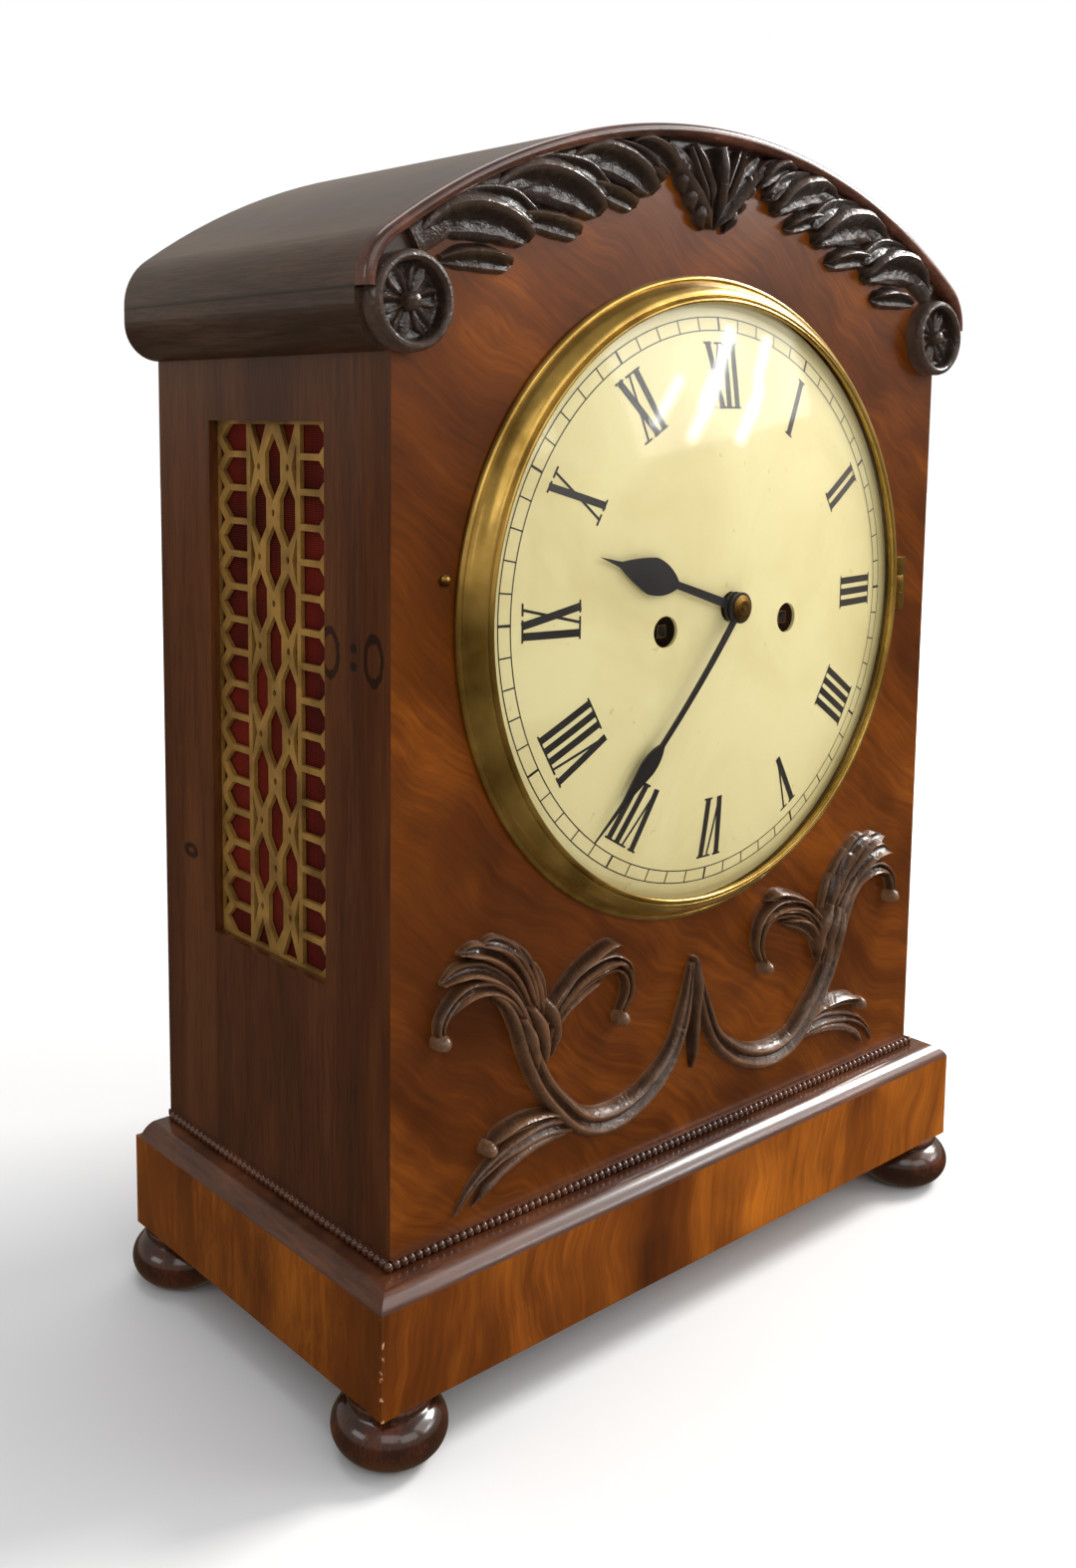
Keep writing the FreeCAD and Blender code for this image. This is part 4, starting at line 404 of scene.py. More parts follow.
class Shape:
    """Faces gathered in object millimetres: x right, out in front of the panel, z up."""

    def __init__(self):
        self.points, self.faces = [], []

    def grid(self, rows, wrap=False, closed=False, caps=False):
        start, count = len(self.points), len(rows[0])
        for row in rows:
            self.points.extend(row)
        total = len(rows)
        for i in range(total if closed else total - 1):
            for j in range(count if wrap else count - 1):
                a, b = start + i * count + j, start + i * count + (j + 1) % count
                below = (i + 1) % total * count - i * count
                self.faces.append((a, b, b + below, a + below))
        if caps:
            self.faces.append(tuple(start + j for j in reversed(range(count))))
            self.faces.append(tuple(start + (total - 1) * count + j for j in range(count)))

    def turned(self, profile, x, z, steps=192):
        """Outline in radius and distance out, turned about the line through x, z."""
        rows = []
        for k in range(steps):
            angle = 2 * pi * k / steps
            rows.append([(x + r * sin(angle), o, z + r * cos(angle)) for r, o in profile])
        self.grid(rows, closed=True)

    def pod(self, path, widths, heights, section, steps=8, across=16):
        """Carved leaf or stem that follows a path in x and z, with its outline and section given."""
        line = spread_line(path, steps)
        last = len(line) - 1
        rows = []
        for k, (x, z) in enumerate(line):
            a, b = line[max(k - 1, 0)], line[min(k + 1, last)]
            dx, dz = b[0] - a[0], b[1] - a[1]
            length = hypot(dx, dz) or 1.0
            half, tall = eased(widths, k / last) / 2, eased(heights, k / last)
            row = []
            for j in range(across + 1):
                v = -cos(pi * j / across)
                row.append((x - dz / length * half * v, tall * section(v), z + dx / length * half * v))
            rows.append(row)
        self.grid(rows, wrap=True, caps=True)

    def piece(self, name, look, body="case", stands_for=(), sharp=40):
        data = bpy.data.meshes.new(name)
        data.from_pydata([(x * MM, face_y - o * MM, z * MM) for x, o, z in self.points], [], self.faces)
        work = bmesh.new()
        work.from_mesh(data)
        bmesh.ops.remove_doubles(work, verts=work.verts, dist=0.002 * MM)
        bmesh.ops.recalc_face_normals(work, faces=work.faces)
        work.to_mesh(data)
        work.free()
        data.shade_smooth()
        data.set_sharp_from_angle(angle=radians(sharp))
        thing = bpy.data.objects.new(name, data)
        bpy.context.collection.objects.link(thing)
        data.materials.append(looks[look])
        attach(thing, body)
        if stands_for:
            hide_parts(*stands_for)
        return thing


def round_section(v):
    return max(1 - v * v, 0) ** 0.5


def grooved(v):
    """Two rounded ridges with a channel between them."""
    return max(1 - v * v, 0) ** 0.4 * (1 - 0.42 * exp(-(v / 0.34) ** 2))


def fluted(v):
    """Three ridges, the middle one highest, as on a leaf."""
    return max(1 - v * v, 0) ** 0.45 * (0.72 + 0.28 * cos(3 * pi * v))


def spooned(v):
    """Raised rim round a scooped middle."""
    return max(1 - v * v, 0) ** 0.35 * (1 - 0.55 * (1 - v * v) ** 1.4)


def crested(side):
    """High ridge near one edge that falls into a hollow before the other."""
    def section(v):
        v *= side
        body = max(1 - v * v, 0) ** 0.4
        return body * (0.42 + 0.58 * exp(-((v - 0.45) / 0.33) ** 2) + 0.16 * exp(-((v + 0.72) / 0.2) ** 2))
    return section


# ---------------------------------------------------------------- dial, numerals, glass and bezel
dial_mid = dial_z / MM
dial_crown = (face_y - dial_low.y) / MM
dial_edge = 3.2                             # the dial's edge stands this far in front of the panel
dial_reach = dial_radius / MM
dial_sag = dial_crown - dial_edge
dial_ball = (dial_reach ** 2 + dial_sag ** 2) / (2 * dial_sag)
winding_x, winding_drop, winding_radius = 32.5, 6.5, 5.5


def dial_out(r):
    """How far the dial's face stands in front of the panel at this radius."""
    return dial_crown - (dial_ball - sqrt(dial_ball ** 2 - r * r))


def make_dial():
    shape = Shape()
    bore, thick, rings = 5.4, 1.2, 40
    radii = [bore + (dial_reach - bore) * k / rings for k in range(rings + 1)]
    profile = [(r, dial_out(r)) for r in radii]
    profile += [(dial_reach, 0.3), (dial_reach - thick, 0.3)]
    profile += [(min(r, dial_reach - thick), dial_out(r) - thick) for r in reversed(radii)]
    shape.turned(profile + [profile[0]], 0, dial_mid)
    dial = shape.piece("painted_dial", "dial_paint", stands_for=("dial",))
    for side in (-1, 1):
        cutter = Shape()
        steps = 48
        ring = [(side * winding_x + winding_radius * cos(2 * pi * k / steps),
                 dial_mid - winding_drop + winding_radius * sin(2 * pi * k / steps)) for k in range(steps)]
        cutter.grid([[(x, o, z) for x, z in ring] for o in (2, 30)], wrap=True, caps=True)
        data = bpy.data.meshes.new("cutter")
        data.from_pydata([(x * MM, face_y - o * MM, z * MM) for x, o, z in cutter.points], [], cutter.faces)
        tool = bpy.data.objects.new("cutter", data)
        bpy.context.collection.objects.link(tool)
        trim = dial.modifiers.new("hole", "BOOLEAN")
        trim.operation, trim.solver, trim.object = "DIFFERENCE", "EXACT", tool
        bpy.context.view_layer.update()
        cut_mesh = bpy.data.meshes.new_from_object(dial.evaluated_get(bpy.context.evaluated_depsgraph_get()))
        dial.modifiers.clear()
        dial.data = cut_mesh
        bpy.data.objects.remove(tool)
    dial.data.set_sharp_from_angle(angle=radians(40))


def make_winding_squares():
    """Dark steel ends of the winding arbors inside the dial's holes."""
    half, end, root = 2.25, dial_crown - 2.95, dial_crown - 10.0
    for name, side in (("strike_fusee", -1), ("going_fusee", 1)):
        x, z = side * winding_x, dial_mid - winding_drop
        shape = Shape()
        soft = half - 0.3
        shape.grid([[(x + h * u, o, z + h * v) for u, v in ((-1, -1), (1, -1), (1, 1), (-1, 1))]
                    for h, o in ((soft, end), (half, end - 0.3), (half, root))], wrap=True, caps=True)
        shape.piece("winding_square_" + ("left" if side < 0 else "right"), "dark_steel", body=name + "_arbor",
                    sharp=20)


foot_radius, head_radius = 69.5, 92.5       # feet and heads of the numerals
thick_stroke, thin_stroke, serif = 2.6, 0.95, 0.75
# each letter: its width; its strokes as start, end and width; places of its feet; places of its heads
glyphs = {
    "I": (4.3, (((0, 0), (0, 1), thick_stroke),), (0,), (0,)),
    "V": (7.6, (((-2.6, 1), (0.2, 0), thick_stroke), ((2.9, 1), (0.2, 0), thin_stroke)), (), (-2.6, 2.9)),
    "X": (7.8, (((-2.7, 1), (2.7, 0), thick_stroke), ((2.7, 1), (-2.7, 0), thin_stroke)), (-2.7, 2.7),
          (-2.7, 2.7)),
}
numerals = ("XII", "I", "II", "III", "IIII", "V", "VI", "VII", "VIII", "IX", "X", "XI")


def make_numerals():
    shape = Shape()
    relief = 0.07

    def on_dial(t, r, turn):
        x, z = r * sin(turn) + t * cos(turn), r * cos(turn) - t * sin(turn)
        return (x, dial_out(hypot(x, z)) + relief, dial_mid + z)

    def stroke(a, b, width, turn, steps=8):
        dt, dr = b[0] - a[0], b[1] - a[1]
        length = hypot(dt, dr)
        side_t, side_r = -dr / length * width / 2, dt / length * width / 2
        rows = []
        for k in range(steps + 1):
            t, r = a[0] + dt * k / steps, a[1] + dr * k / steps
            rows.append([on_dial(t - side_t, r - side_r, turn), on_dial(t + side_t, r + side_r, turn)])
        shape.grid(rows)

    def radius(share):
        return foot_radius + share * (head_radius - foot_radius)

    for hour, text in enumerate(numerals):
        turn = 2 * pi * hour / 12
        t = -sum(glyphs[letter][0] for letter in text) / 2
        for letter in text:
            advance, strokes, feet, heads = glyphs[letter]
            t += advance / 2
            for (t0, s0), (t1, s1), width in strokes:
                stroke((t + t0, radius(s0)), (t + t1, radius(s1)), width, turn)
            for spots, share, inward in ((feet, 0, 1), (heads, 1, -1)):
                for spot in spots:
                    r = radius(share) + inward * serif / 2
                    stroke((t + spot - 2.1, r), (t + spot + 2.1, r), serif, turn, 2)
            t += advance / 2
    track_inner, track_outer, line = 96.6, 101.2, 0.4
    for r in (track_inner, track_outer):
        steps = 180
        rows = []
        for k in range(steps + 1):
            turn = 2 * pi * k / steps
            rows.append([on_dial(0, r - line / 2, turn), on_dial(0, r + line / 2, turn)])
        shape.grid(rows)
    for minute in range(60):
        width = 0.95 if minute % 5 == 0 else 0.5
        stroke((0, track_inner), (0, track_outer), width, 2 * pi * minute / 60, 1)
    shape.piece("dial_numerals", "numeral_black")


def make_bezel():
    glass_low, glass_high = span("bezel_glass")
    rim, apex = glass_high.x / MM, (face_y - glass_low.y) / MM
    seat = (face_y - glass_high.y) / MM
    thick = 1.8
    rise = apex - thick - seat
    ball = (rim ** 2 + rise ** 2) / (2 * rise)

    def dome(r, shift):
        return seat + shift + rise - (ball - sqrt(ball ** 2 - r * r))

    glass = Shape()
    radii = [0.05 + (rim - 0.05) * k / 40 for k in range(41)]
    outline = [(r, dome(r, 0)) for r in radii] + [(r, dome(r, thick)) for r in reversed(radii)]
    glass.turned(outline + [outline[0]], 0, dial_mid)
    glass.piece("domed_glass", "clear_glass", body="bezel", stands_for=("bezel_glass",))

    reach = (bezel_high.z - bezel_low.z) / 2 / MM
    sight = reach - 9.5
    # the ring's section from its rim inwards: inset from the rim, height in front of the panel
    moulded = ((2.0, 0.0), (0.5, 0.0), (0.0, 0.5), (0.0, 1.3), (0.35, 2.0), (1.0, 2.35), (1.5, 2.3),
               (1.75, 2.15), (2.0, 2.5), (2.5, 3.6), (3.2, 4.9), (4.1, 6.1), (5.2, 7.2), (6.3, 7.95),
               (7.0, 8.2), (7.35, 8.1), (7.6, 7.75), (7.85, 8.1), (8.1, 8.8), (8.55, 9.2), (9.0, 9.15),
               (9.35, 8.8))
    edge = [(reach - inset, out) for inset, out in moulded]
    edge += [(sight, 8.2), (sight, 7.7), (sight + 2.6, 7.7), (sight + 2.6, 4.4), (reach - 2.0, 2.4)]
    ring = Shape()
    ring.turned(edge + [edge[0]], 0, dial_mid, 256)
    ring.piece("cast_bezel", "bezel_brass", body="bezel", stands_for=("bezel",), sharp=55)
    hinge_x = (bezel_high.x / MM) - 2.2
    pin = Shape()
    half_length = 3.35
    barrel = [(0.95, -half_length), (2.1, -half_length), (2.2, -half_length + 0.2), (2.2, half_length - 0.2),
              (2.1, half_length), (0.95, half_length)]
    steps = 40
    rows = []
    for k in range(steps):
        angle = 2 * pi * k / steps
        rows.append([(hinge_x + r * cos(angle), 2.4 + r * sin(angle), dial_mid + z)
                     for r, z in barrel + [barrel[0]]])
    pin.grid(rows, closed=True)
    lug = ((reach - 1.2, 0.5), (hinge_x, 0.5), (hinge_x, 1.9), (reach - 1.2, 1.9))
    pin.grid([[(x, o, dial_mid + z) for x, o in lug] for z in (-half_length, half_length)],
             wrap=True, caps=True)
    pin.piece("bezel_knuckle", "bezel_brass", body="bezel")


# ---------------------------------------------------------------- carvings
crown = crown_z / MM
shoulder = 20.0                             # radius of the hood's shoulders
shoulder_x = hood_half / MM - shoulder
shoulder_drop = (crown_z - springing_z) / MM - 1.0
arch_radius = (shoulder_x ** 2 + shoulder_drop ** 2 - shoulder ** 2) / (2 * (shoulder_drop - shoulder))


def on_arch(x, inset):
    """Point on the arch this far inside its outer edge, at this x on the edge."""
    angle = asin(x / arch_radius)
    r = arch_radius - inset
    return (r * sin(angle), crown - arch_radius + r * cos(angle))


def make_arch_carving():
    for name, side in (("left", -1), ("right", 1)):
        shape = Shape()
        lobes = ((136, 98, 25.5, 16.5), (106, 63, 25.0, 17.0), (72, 35, 20.5, 14.5), (45, 24, 13.0, 9.5))
        for root, tip, drop, body in lobes:
            run = root - tip
            path = [on_arch(side * (root - run * t), 6.0 + drop * s - 2.0)
                    for t, s in ((0, 0.22), (0.25, 0.17), (0.5, 0.28), (0.75, 0.52), (0.93, 0.80), (1.0, 0.94))]
            shape.pod(path, [body * w for w in (0.35, 0.75, 0.98, 1.0, 0.82, 0.5, 0.06)],
                      [3.0, 6.0, 7.6, 8.2, 8.4, 7.6, 2.5], crested(-side))
            path = [on_arch(side * (root - run * t), 6.0 + drop * s)
                    for t, s in ((0.1, 0.5), (0.3, 0.62), (0.5, 0.78), (0.66, 0.93), (0.76, 1.02))]
            shape.pod(path, [body * w for w in (0.2, 0.5, 0.55, 0.45, 0.05)],
                      [2.5, 5.0, 6.2, 6.4, 2.0], crested(-side))
            path = [on_arch(side * (root - run * t), 5.0 + drop * s)
                    for t, s in ((0.3, 0.05), (0.6, 0.10), (0.9, 0.3), (1.08, 0.6), (1.13, 0.72))]
            shape.pod(path, [body * w for w in (0.2, 0.42, 0.46, 0.4, 0.05)],
                      [3.0, 6.4, 7.4, 7.0, 2.0], spooned)
        ground = [on_arch(side * x, 9.0) for x in (138, 110, 80, 50, 26)]
        shape.pod(ground, [11, 12, 11, 9, 7], [2.6, 3.0, 3.0, 3.0, 2.6], lambda v: max(1 - v ** 6, 0),
                  steps=10, across=8)
        shape.piece("arch_carving_" + name, "carved_wood", stands_for=("arch_carvings",))
    leaf = Shape()
    for side in (-1, 1):
        top = on_arch(side * 25, 7.0)
        leaf.pod([top, (side * 18, crown - 13.5), (side * 11, crown - 20), (side * 5, crown - 27),
                  (side * 0.8, crown - 33)], [6, 10.5, 11, 9, 3], [4.0, 6.6, 7.4, 6.6, 2.5], crested(side))
        leaf.pod([on_arch(side * 13, 6.5), (side * 9.5, crown - 13), (side * 5.6, crown - 20),
                  (side * 2.2, crown - 27)], [4, 7, 6.5, 2], [5.0, 7.0, 7.4, 3.0], fluted)
        for k in range(3):
            low = 14 + 5.5 * k
            leaf.pod([(side * (16 - 4.2 * k), crown - low), (side * (17.4 - 4.6 * k), crown - low - 5.0),
                      (side * (15.4 - 4.8 * k), crown - low - 9.6)], [3.2, 5.4, 1.0], [4.5, 5.2, 2.0],
                     round_section)
    leaf.pod([(0, crown - 6.5), (0, crown - 14), (0, crown - 23), (0, crown - 33.5)], [4.2, 4.6, 3.6, 0.8],
             [6.6, 8.2, 7.6, 3.0], round_section)
    leaf.piece("arch_leaf", "carved_wood")


def make_rosettes():
    low, high = span("rosettes")
    reach = 15.0
    across, height = high.x / MM - reach, (low.z + high.z) / 2 / MM
    for name, side in (("left", -1), ("right", 1)):
        shape = Shape()
        x = side * across
        rim = [(reach, 0.0), (reach, 4.6), (reach - 0.35, 5.9), (reach - 1.2, 6.8), (reach - 2.1, 6.9),
               (reach - 2.9, 6.3), (reach - 3.4, 4.8), (reach - 4.1, 2.4), (reach - 6.5, 1.8), (3.0, 1.8),
               (3.0, 0.0)]
        shape.turned(rim + [rim[0]], x, height, 96)
        for k in range(6):
            angle = 2 * pi * (k + 0.35) / 6
            path = [(x + r * sin(angle), height + r * cos(angle)) for r in (2.4, 5.0, 8.2, 10.6, 12.0)]
            shape.pod(path, [1.8, 4.8, 6.6, 5.6, 1.6], [4.4, 5.2, 5.4, 4.8, 3.2], spooned, steps=5, across=12)
        button = [(0.02, 7.0), (1.0, 6.9), (2.0, 6.4), (2.7, 5.4), (2.9, 4.0), (2.9, 1.0), (0.02, 1.0)]
        shape.turned(button + [button[0]], x, height, 32)
        shape.piece("rosette_" + name, "carved_wood", stands_for=("rosettes",))


stem_line = ((-1.5, 130), (-4.5, 116), (-11, 100), (-21.5, 90), (-34, 84.3), (-47, 82.8), (-59, 86.5),
             (-69.5, 96), (-77.5, 106), (-83, 117), (-87.5, 129), (-93, 138.5), (-101, 144.5), (-110, 146),
             (-117, 143.5), (-121.5, 138), (-122, 132))
branch_line = ((-76, 112), (-75.5, 121), (-71, 130), (-63, 136.5), (-54, 139.8), (-45, 140.3), (-38, 136.5),
               (-35.8, 128.5), (-40, 120))
tail_line = ((-52, 83.5), (-64, 86.5), (-76, 88.5), (-88, 87.0), (-99, 83.5), (-108, 77.5), (-114.5, 69.5))


def make_scrolls():
    for name, side in (("left", 1), ("right", -1)):
        shape = Shape()

        def turn(points):
            return [(side * x, z) for x, z in points]

        shape.pod(turn(stem_line), [2.5, 6.5, 9.5, 10.5, 9.5, 8.5, 8.5, 7.5, 5.5, 4.0, 3.0],
                  [3.0, 5.0, 6.0, 6.6, 6.6, 6.4, 6.2, 6.0, 5.6, 5.6, 5.0], grooved, steps=7, across=18)
        shape.pod(turn(branch_line), [3, 7, 8.6, 9.4, 9.0, 7.0, 4.4, 2.5],
                  [3.5, 5.2, 6.2, 6.6, 6.6, 6.2, 5.6, 4.4], fluted, steps=7, across=20)
        shape.pod(turn(tail_line), [3, 6.5, 7.5, 6.5, 4.5, 2.6, 0.8], [2.6, 4.6, 5.2, 5.0, 4.4, 3.2, 1.6],
                  grooved, steps=7)
        crests = (((-84, 128), (-92, 139), (-103, 145), (-114, 144.5), (-121, 138.5)),
                  ((-84, 131), (-93, 143), (-104, 150.5), (-114, 152.5), (-121, 150)),
                  ((-82, 133), (-89, 146), (-98, 154), (-107, 158), (-114, 158.5)),
                  ((-80, 134), (-85, 146), (-92, 154.5), (-99, 158.8), (-105, 159.5)),
                  ((-79, 132), (-81.5, 142), (-86, 150), (-90.5, 154.5), (-94, 155.5)),
                  ((-77, 130), (-78.5, 138), (-81, 144.5), (-83.5, 149)))
        for k, line in enumerate(crests):
            shape.pod(turn(line), [4, 6.4, 7.2, 6.2, 1.2], [4.2, 5.8, 7.0, 7.4 - 0.3 * k, 4.6],
                      crested(side), steps=6)
        fans = (((-73, 128), (-64, 138.5), (-54, 143.5), (-46, 146), (-40, 145)),
                ((-72, 126), (-62, 134.5), (-52, 138), (-42, 138.5), (-35.5, 135)),
                ((-73, 122), (-66, 129), (-58, 133), (-50, 134.5)))
        for line in fans:
            shape.pod(turn(line), [3.5, 5.8, 6.2, 5.4, 1.2], [4.4, 6.2, 7.2, 6.8, 3.6],
                      crested(side), steps=6)
        knots = (((-84, 134), (-80, 127), (-77.5, 119), (-77, 111)),
                 ((-79, 136), (-75, 130), (-72.5, 123), (-73.5, 114)),
                 ((-87.5, 131), (-84.5, 124), (-82, 117), (-80, 110)))
        for line in knots:
            shape.pod(turn(line), [3.4, 6.0, 4.8, 1.0], [5.6, 7.4, 6.4, 3.6], round_section, steps=6)
        shape.pod(turn(((-60, 86), (-72, 91.5), (-84, 93.5), (-95, 92.5), (-102.5, 89.0))),
                  [3, 6.0, 6.4, 6.0, 1.4], [3.6, 5.6, 6.6, 7.2, 4.0], crested(-side), steps=6)
        shape.pod(turn(((-66, 84), (-78, 84.5), (-90, 82), (-100, 77), (-107, 70.5))),
                  [2.4, 4.4, 4.6, 3.6, 0.8], [3.0, 4.4, 4.8, 4.2, 1.6], round_section, steps=6)
        for x, z, size in ((-121.6, 131.2, 2.9), (-39.8, 118.8, 2.7), (-101.5, 89.4, 2.6)):
            curl = [(0.02, 6.6), (0.4 * size, 6.4), (0.75 * size, 5.4), (size, 3.6), (size, 0.0), (0.02, 0.0)]
            shape.turned(curl + [curl[0]], side * x, z, 24)
        shape.piece("scroll_" + name, "scroll_wood", stands_for=("scroll_carving",))
    spear = Shape()
    spear.pod([(0, 132), (0, 122), (0, 110), (0, 98), (0, 88.5)], [2.0, 6.4, 5.2, 4.4, 1.0],
              [3.4, 6.6, 5.4, 4.6, 2.0], lambda v: 1 - abs(v) ** 1.3)
    spear.piece("scroll_spear", "scroll_wood")


# ---------------------------------------------------------------- beads, roll and feet
def make_beads():
    low, high = span("bead_moulding")
    size = (high.z - low.z) / MM
    middle, base = low.z / MM + size / 2, low.z / MM
    half, back = half_width / MM, (high.y - face_y) / MM
    ball, pitch, sides, rings = 0.53 * size, 3.05, 10, 6
    places = []
    count = round(2 * (half + ball) / pitch)
    for k in range(count + 1):
        places.append((-half - ball + 2 * (half + ball) * k / count, 1.25))
    count = round(back / pitch)
    for k in range(1, count):
        for side in (-1, 1):
            places.append((side * (half + 1.25), 1.25 - k * back / count))
    shape = Shape()
    for x, o in places:
        rows = []
        for i in range(sides):
            turn = 2 * pi * i / sides
            rows.append([(x + ball * sin(pi * (j + 0.02) / (rings + 0.04)) * cos(turn),
                          o + ball * sin(pi * (j + 0.02) / (rings + 0.04)) * sin(turn),
                          middle + ball * cos(pi * (j + 0.02) / (rings + 0.04))) for j in range(rings + 1)])
        shape.grid(rows, closed=True)
    strip = ((half + 0.02, 0.6), (half + 0.9, 0.6), (half + 0.9, size - 0.2), (half + 0.02, size - 0.2))
    for side in (-1, 1):
        shape.grid([[(side * x, o, base + z) for x, z in strip] for o in (0.9, -back)], wrap=True, caps=True)
    strip = ((0.02, 0.6), (0.9, 0.6), (0.9, size - 0.2), (0.02, size - 0.2))
    shape.grid([[(x, o, base + z) for o, z in strip] for x in (-half - 0.9, half + 0.9)],
               wrap=True, caps=True)
    shape.piece("bead_row", "moulding_wood", stands_for=("bead_moulding",), sharp=60)


def make_roll():
    """Rounded fillet that follows the arch's front edge."""
    width, deep, small = 4.5, 6.0, shoulder
    half = hood_half / MM
    low = springing_z / MM
    centre_z = crown - arch_radius
    shoulder_z = centre_z + sqrt((arch_radius - small) ** 2 - shoulder_x ** 2)
    turn = atan2(shoulder_z - centre_z, shoulder_x)
    line = [(half, low, 1, 0)]
    for k in range(13):
        a = turn * k / 12
        line.append((shoulder_x + small * cos(a), shoulder_z + small * sin(a), cos(a), sin(a)))
    for k in range(1, 97):
        a = turn + (pi - 2 * turn) * k / 96
        line.append((arch_radius * cos(a), centre_z + arch_radius * sin(a), cos(a), sin(a)))
    for k in range(1, 13):
        a = pi - turn + turn * k / 12
        line.append((-shoulder_x + small * cos(a), shoulder_z + small * sin(a), cos(a), sin(a)))
    line.append((-half, low, -1, 0))
    section = [(0, 0.02), (0, deep - 2.2)]
    for k in range(9):
        a = pi * k / 8
        section.append((width / 2 * (1 - cos(a)), deep - 2.2 + 2.2 * sin(a)))
    section += [(width, deep - 2.2), (width, 0.02)]
    shape = Shape()
    shape.grid([[(x - nx * inset, o, z - nz * inset) for inset, o in section] for x, z, nx, nz in line],
               wrap=True, caps=True)
    shape.piece("arch_roll", "fillet_wood", stands_for=("arch_fillet",))


def make_feet():
    low, high = span("bun_feet")
    reach = 19.0
    tall = high.z / MM
    places = [(x, o) for x in (low.x / MM + reach, high.x / MM - reach)
              for o in ((face_y - low.y) / MM - reach, (face_y - high.y) / MM + reach)]
    profile = [(0.02, 0.0), (10.4, 0.0), (11.2, 0.25), (13.6, 1.4), (16.3, 3.6), (18.2, 6.4),
               (19.0, 9.6), (18.5, 12.7), (17.0, 15.3), (15.1, 17.0), (13.9, 17.6), (13.4, 17.9),
               (13.5, 18.3), (13.9, 18.9), (13.9, 19.8), (13.5, tall - 0.02), (0.02, tall - 0.02)]
    ease = spread_line(profile[2:12], 3)
    profile = profile[:2] + ease + profile[12:] + [profile[0]]
    for number, (x, o) in enumerate(places):
        shape = Shape()
        steps = 72
        turns = [2 * pi * k / steps for k in range(steps)]
        shape.grid([[(x + r * cos(turn), o + r * sin(turn), z) for r, z in profile] for turn in turns],
                   closed=True)
        shape.piece("bun_foot_%d" % (number + 1), "foot_wood", stands_for=("bun_feet",))


# ---------------------------------------------------------------- cloth behind the frets
def make_cloths():
    low, high = span("fret_cloths")
    for name, side in (("left", -1), ("right", 1)):
        outer = side * (abs(low.x) / MM)
        shape = Shape()
        tall, wide = (high.z - low.z) / MM, (high.y - low.y) / MM
        rows = []
        for i in range(49):
            z = low.z / MM + tall * i / 48
            row = []
            for j in range(19):
                o = (face_y - low.y) / MM - wide * j / 18
                slack = 0.18 * sin(3.1 * i / 7 + j) * sin(pi * j / 18) * sin(pi * i / 48)
                row.append((outer - side * (0.25 + abs(slack)), o, z))
            rows.append(row)
        shape.grid(rows)
        back = [[(x - side * 0.4, o, z) for x, o, z in row] for row in rows]
        shape.grid(back)
        shape.grid([rows[0], back[0]])
        shape.grid([rows[-1], back[-1]])
        for k in (0, -1):
            shape.grid([[row[k] for row in rows], [row[k] for row in back]])
        cloth = shape.piece("fret_cloth_" + name, "fret_cloth", stands_for=("fret_cloths",))


make_dial()
make_winding_squares()
make_numerals()
make_bezel()
make_arch_carving()
make_rosettes()
make_scrolls()
make_beads()
make_roll()
make_feet()
make_cloths()


# ---------------------------------------------------------------- stage, light and camera
def make_floor():
    mesh = bmesh.new()
    reach = 6.0
    corners = ((-1, -1), (1, -1), (1, 1), (-1, 1))
    mesh.faces.new([mesh.verts.new((reach * x, reach * y, 0)) for x, y in corners])
    data = bpy.data.meshes.new("floor")
    mesh.to_mesh(data)
    floor = bpy.data.objects.new("floor", data)
    bpy.context.collection.objects.link(floor)
    material, tree = new_material("floor")
    ground = tree.noise(tree.place((3, 3, 3)), 1.0, 2.0)
    pale = tree.ramp(ground, [(0.3, grey(0.70)), (0.7, grey(0.72))])
    matte = tree.add("BsdfDiffuse", None, Color=pale)
    path = tree.add("LightPath")
    away = tree.add("VectorMath", {"operation": "LENGTH"}, i0=tree.place()).outputs["Value"]
    fade = tree.add("MapRange", {"interpolation_type": "SMOOTHSTEP"}, Value=away, From_Min=0.3, From_Max=1.4,
                    To_Min=0.0, To_Max=1.0).outputs[0]
    shine = tree.add("Emission", None, Strength=tree.math("MULTIPLY", path.outputs["Is Camera Ray"], fade))
    seen = tree.add("AddShader", None, i0=matte.outputs[0], i1=shine.outputs[0])
    mirrored = tree.add("Emission", None, Color=(0.085, 0.058, 0.036, 1), Strength=1.0)
    tree.finish(tree.add("MixShader", None, i0=path.outputs["Is Glossy Ray"], i1=seen.outputs[0],
                         i2=mirrored.outputs[0]))
    floor.data.materials.append(material)


def make_world():
    world = bpy.data.worlds.new("world")
    bpy.context.scene.world = world
    tree = Tree(world)
    path = tree.add("LightPath")
    height = tree.add("SeparateXYZ", None, Vector=tree.add("TexCoord").outputs["Generated"]).outputs["Z"]
    level = tree.math("ADD", tree.math("MULTIPLY", height, 0.5), 0.5)
    room = tree.ramp(level, [(0.30, (0.12, 0.11, 0.10, 1)), (0.52, grey(0.26)),
                             (0.80, (0.55, 0.55, 0.56, 1))])
    mirrored = tree.ramp(level, [(0.46, (0.04, 0.028, 0.02, 1)), (0.55, (0.50, 0.44, 0.38, 1)),
                                 (0.72, (0.40, 0.36, 0.32, 1)), (1.0, (0.30, 0.28, 0.26, 1))])
    room = tree.mix(path.outputs["Is Glossy Ray"], room, mirrored)
    colour = tree.mix(path.outputs["Is Camera Ray"], room, (1, 1, 1, 1))
    back = tree.add("Background", None, Color=colour, Strength=1.0)
    tree.tree.links.new(back.outputs[0], tree.add("OutputWorld").inputs["Surface"])


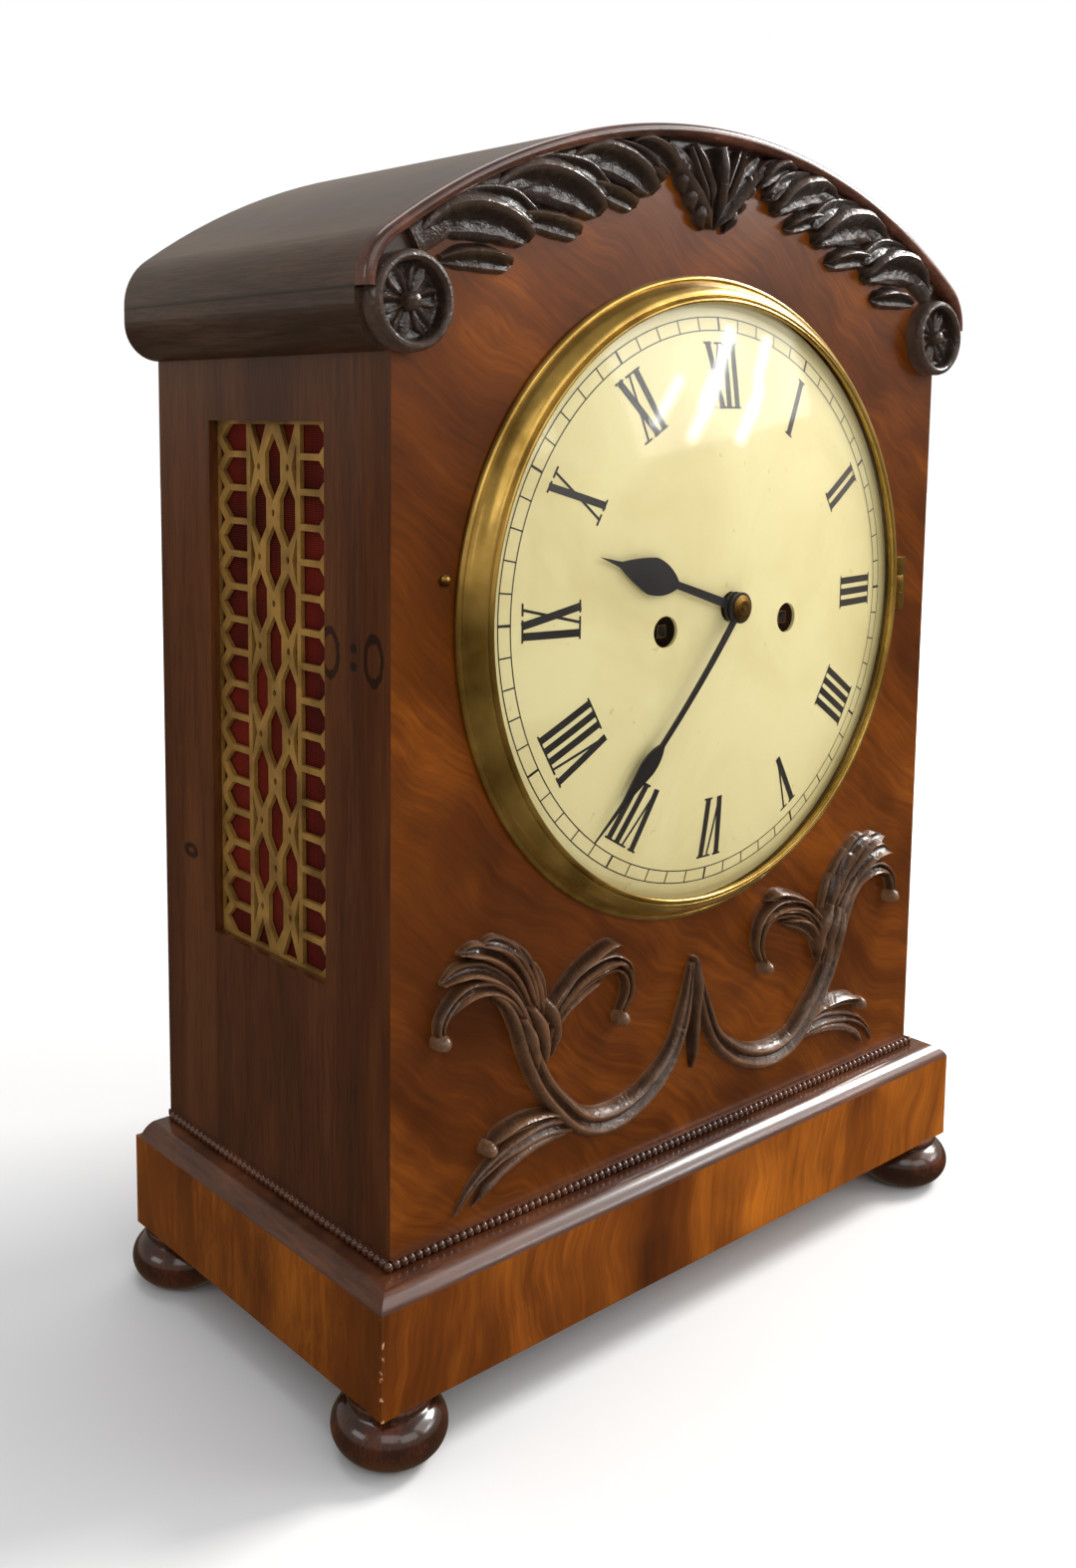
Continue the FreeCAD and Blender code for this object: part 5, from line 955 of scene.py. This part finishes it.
def lamp(name, place, aim, size, power, colour=(1, 1, 1), roll=0.0):
    data = bpy.data.lights.new(name, "AREA")
    data.shape = "RECTANGLE"
    data.size, data.size_y = size
    data.energy = power
    data.color = colour
    light = bpy.data.objects.new(name, data)
    light.location = place
    turn = (Vector(aim) - Vector(place)).to_track_quat("-Z", "Y").to_matrix() @ Matrix.Rotation(roll, 3, "Z")
    light.rotation_euler = turn.to_euler()
    bpy.context.collection.objects.link(light)


def make_lights():
    middle = (0, 0, 0.22)
    lamp("key", (1.55, -0.35, 1.3), middle, (0.6, 0.6), 44, (1.0, 0.98, 0.95))
    lamp("front", (0.0, -2.0, 1.3), middle, (1.3, 1.0), 8, (1.0, 0.98, 0.95))
    lamp("sheen", (1.35, -1.2, 1.35), middle, (1.4, 1.4), 14)
    lamp("front_left", (-1.2, -1.5, 1.6), middle, (1.2, 1.2), 7)
    lamp("side", (-1.7, 0.3, 0.9), middle, (0.8, 0.5), 3)
    lamp("top", (0.1, 0.4, 1.7), middle, (1.2, 0.8), 9)
    dial = Vector((0, face_y, dial_z))
    # narrow lamps that streak the glass: turn and rise from the dial in degrees, length, width, power
    strips = ((50, 21, 0.42, 0.05, 1.2), (45, 17, 0.34, 0.04, 0.8), (54, 15, 0.30, 0.04, 0.6),
              (38, 19, 0.30, 0.035, 0.5), (60, 20, 0.22, 0.03, 0.3))
    distance = 1.9
    for number, (turn, rise, long, wide, power) in enumerate(strips):
        away = Vector((sin(radians(turn)) * cos(radians(rise)), -cos(radians(turn)) * cos(radians(rise)),
                       sin(radians(rise))))
        lamp("strip_%d" % (number + 1), dial + distance * away, dial, (long, wide), power, roll=radians(35))


# the camera solved from the photograph, in its pixels, metres and radians
photo_width, photo_height = 1080, 1574
focal_pixels = 1534.4
principal_x, principal_y = 478.25, 606.34
camera_place = (-0.4166, face_y - 0.3643, 0.3281)
camera_turn, camera_drop, camera_roll = -0.7058, 0.1194, 0.0079


def make_camera():
    data = bpy.data.cameras.new("camera")
    data.lens = data.sensor_width * focal_pixels / photo_height
    data.shift_x = (photo_width / 2 - principal_x) / photo_height
    data.shift_y = (principal_y - photo_height / 2) / photo_height
    data.clip_start = 0.01
    camera = bpy.data.objects.new("camera", data)
    turn = Matrix.Rotation(camera_turn, 4, "Z") @ Matrix.Rotation(pi / 2 - camera_drop, 4, "X")
    turn = turn @ Matrix.Rotation(camera_roll, 4, "Z")
    camera.matrix_world = Matrix.Translation(camera_place) @ turn
    bpy.context.collection.objects.link(camera)
    bpy.context.scene.camera = camera


make_floor()
make_world()
make_lights()
make_camera()
bpy.context.scene.view_settings.view_transform = "Standard"
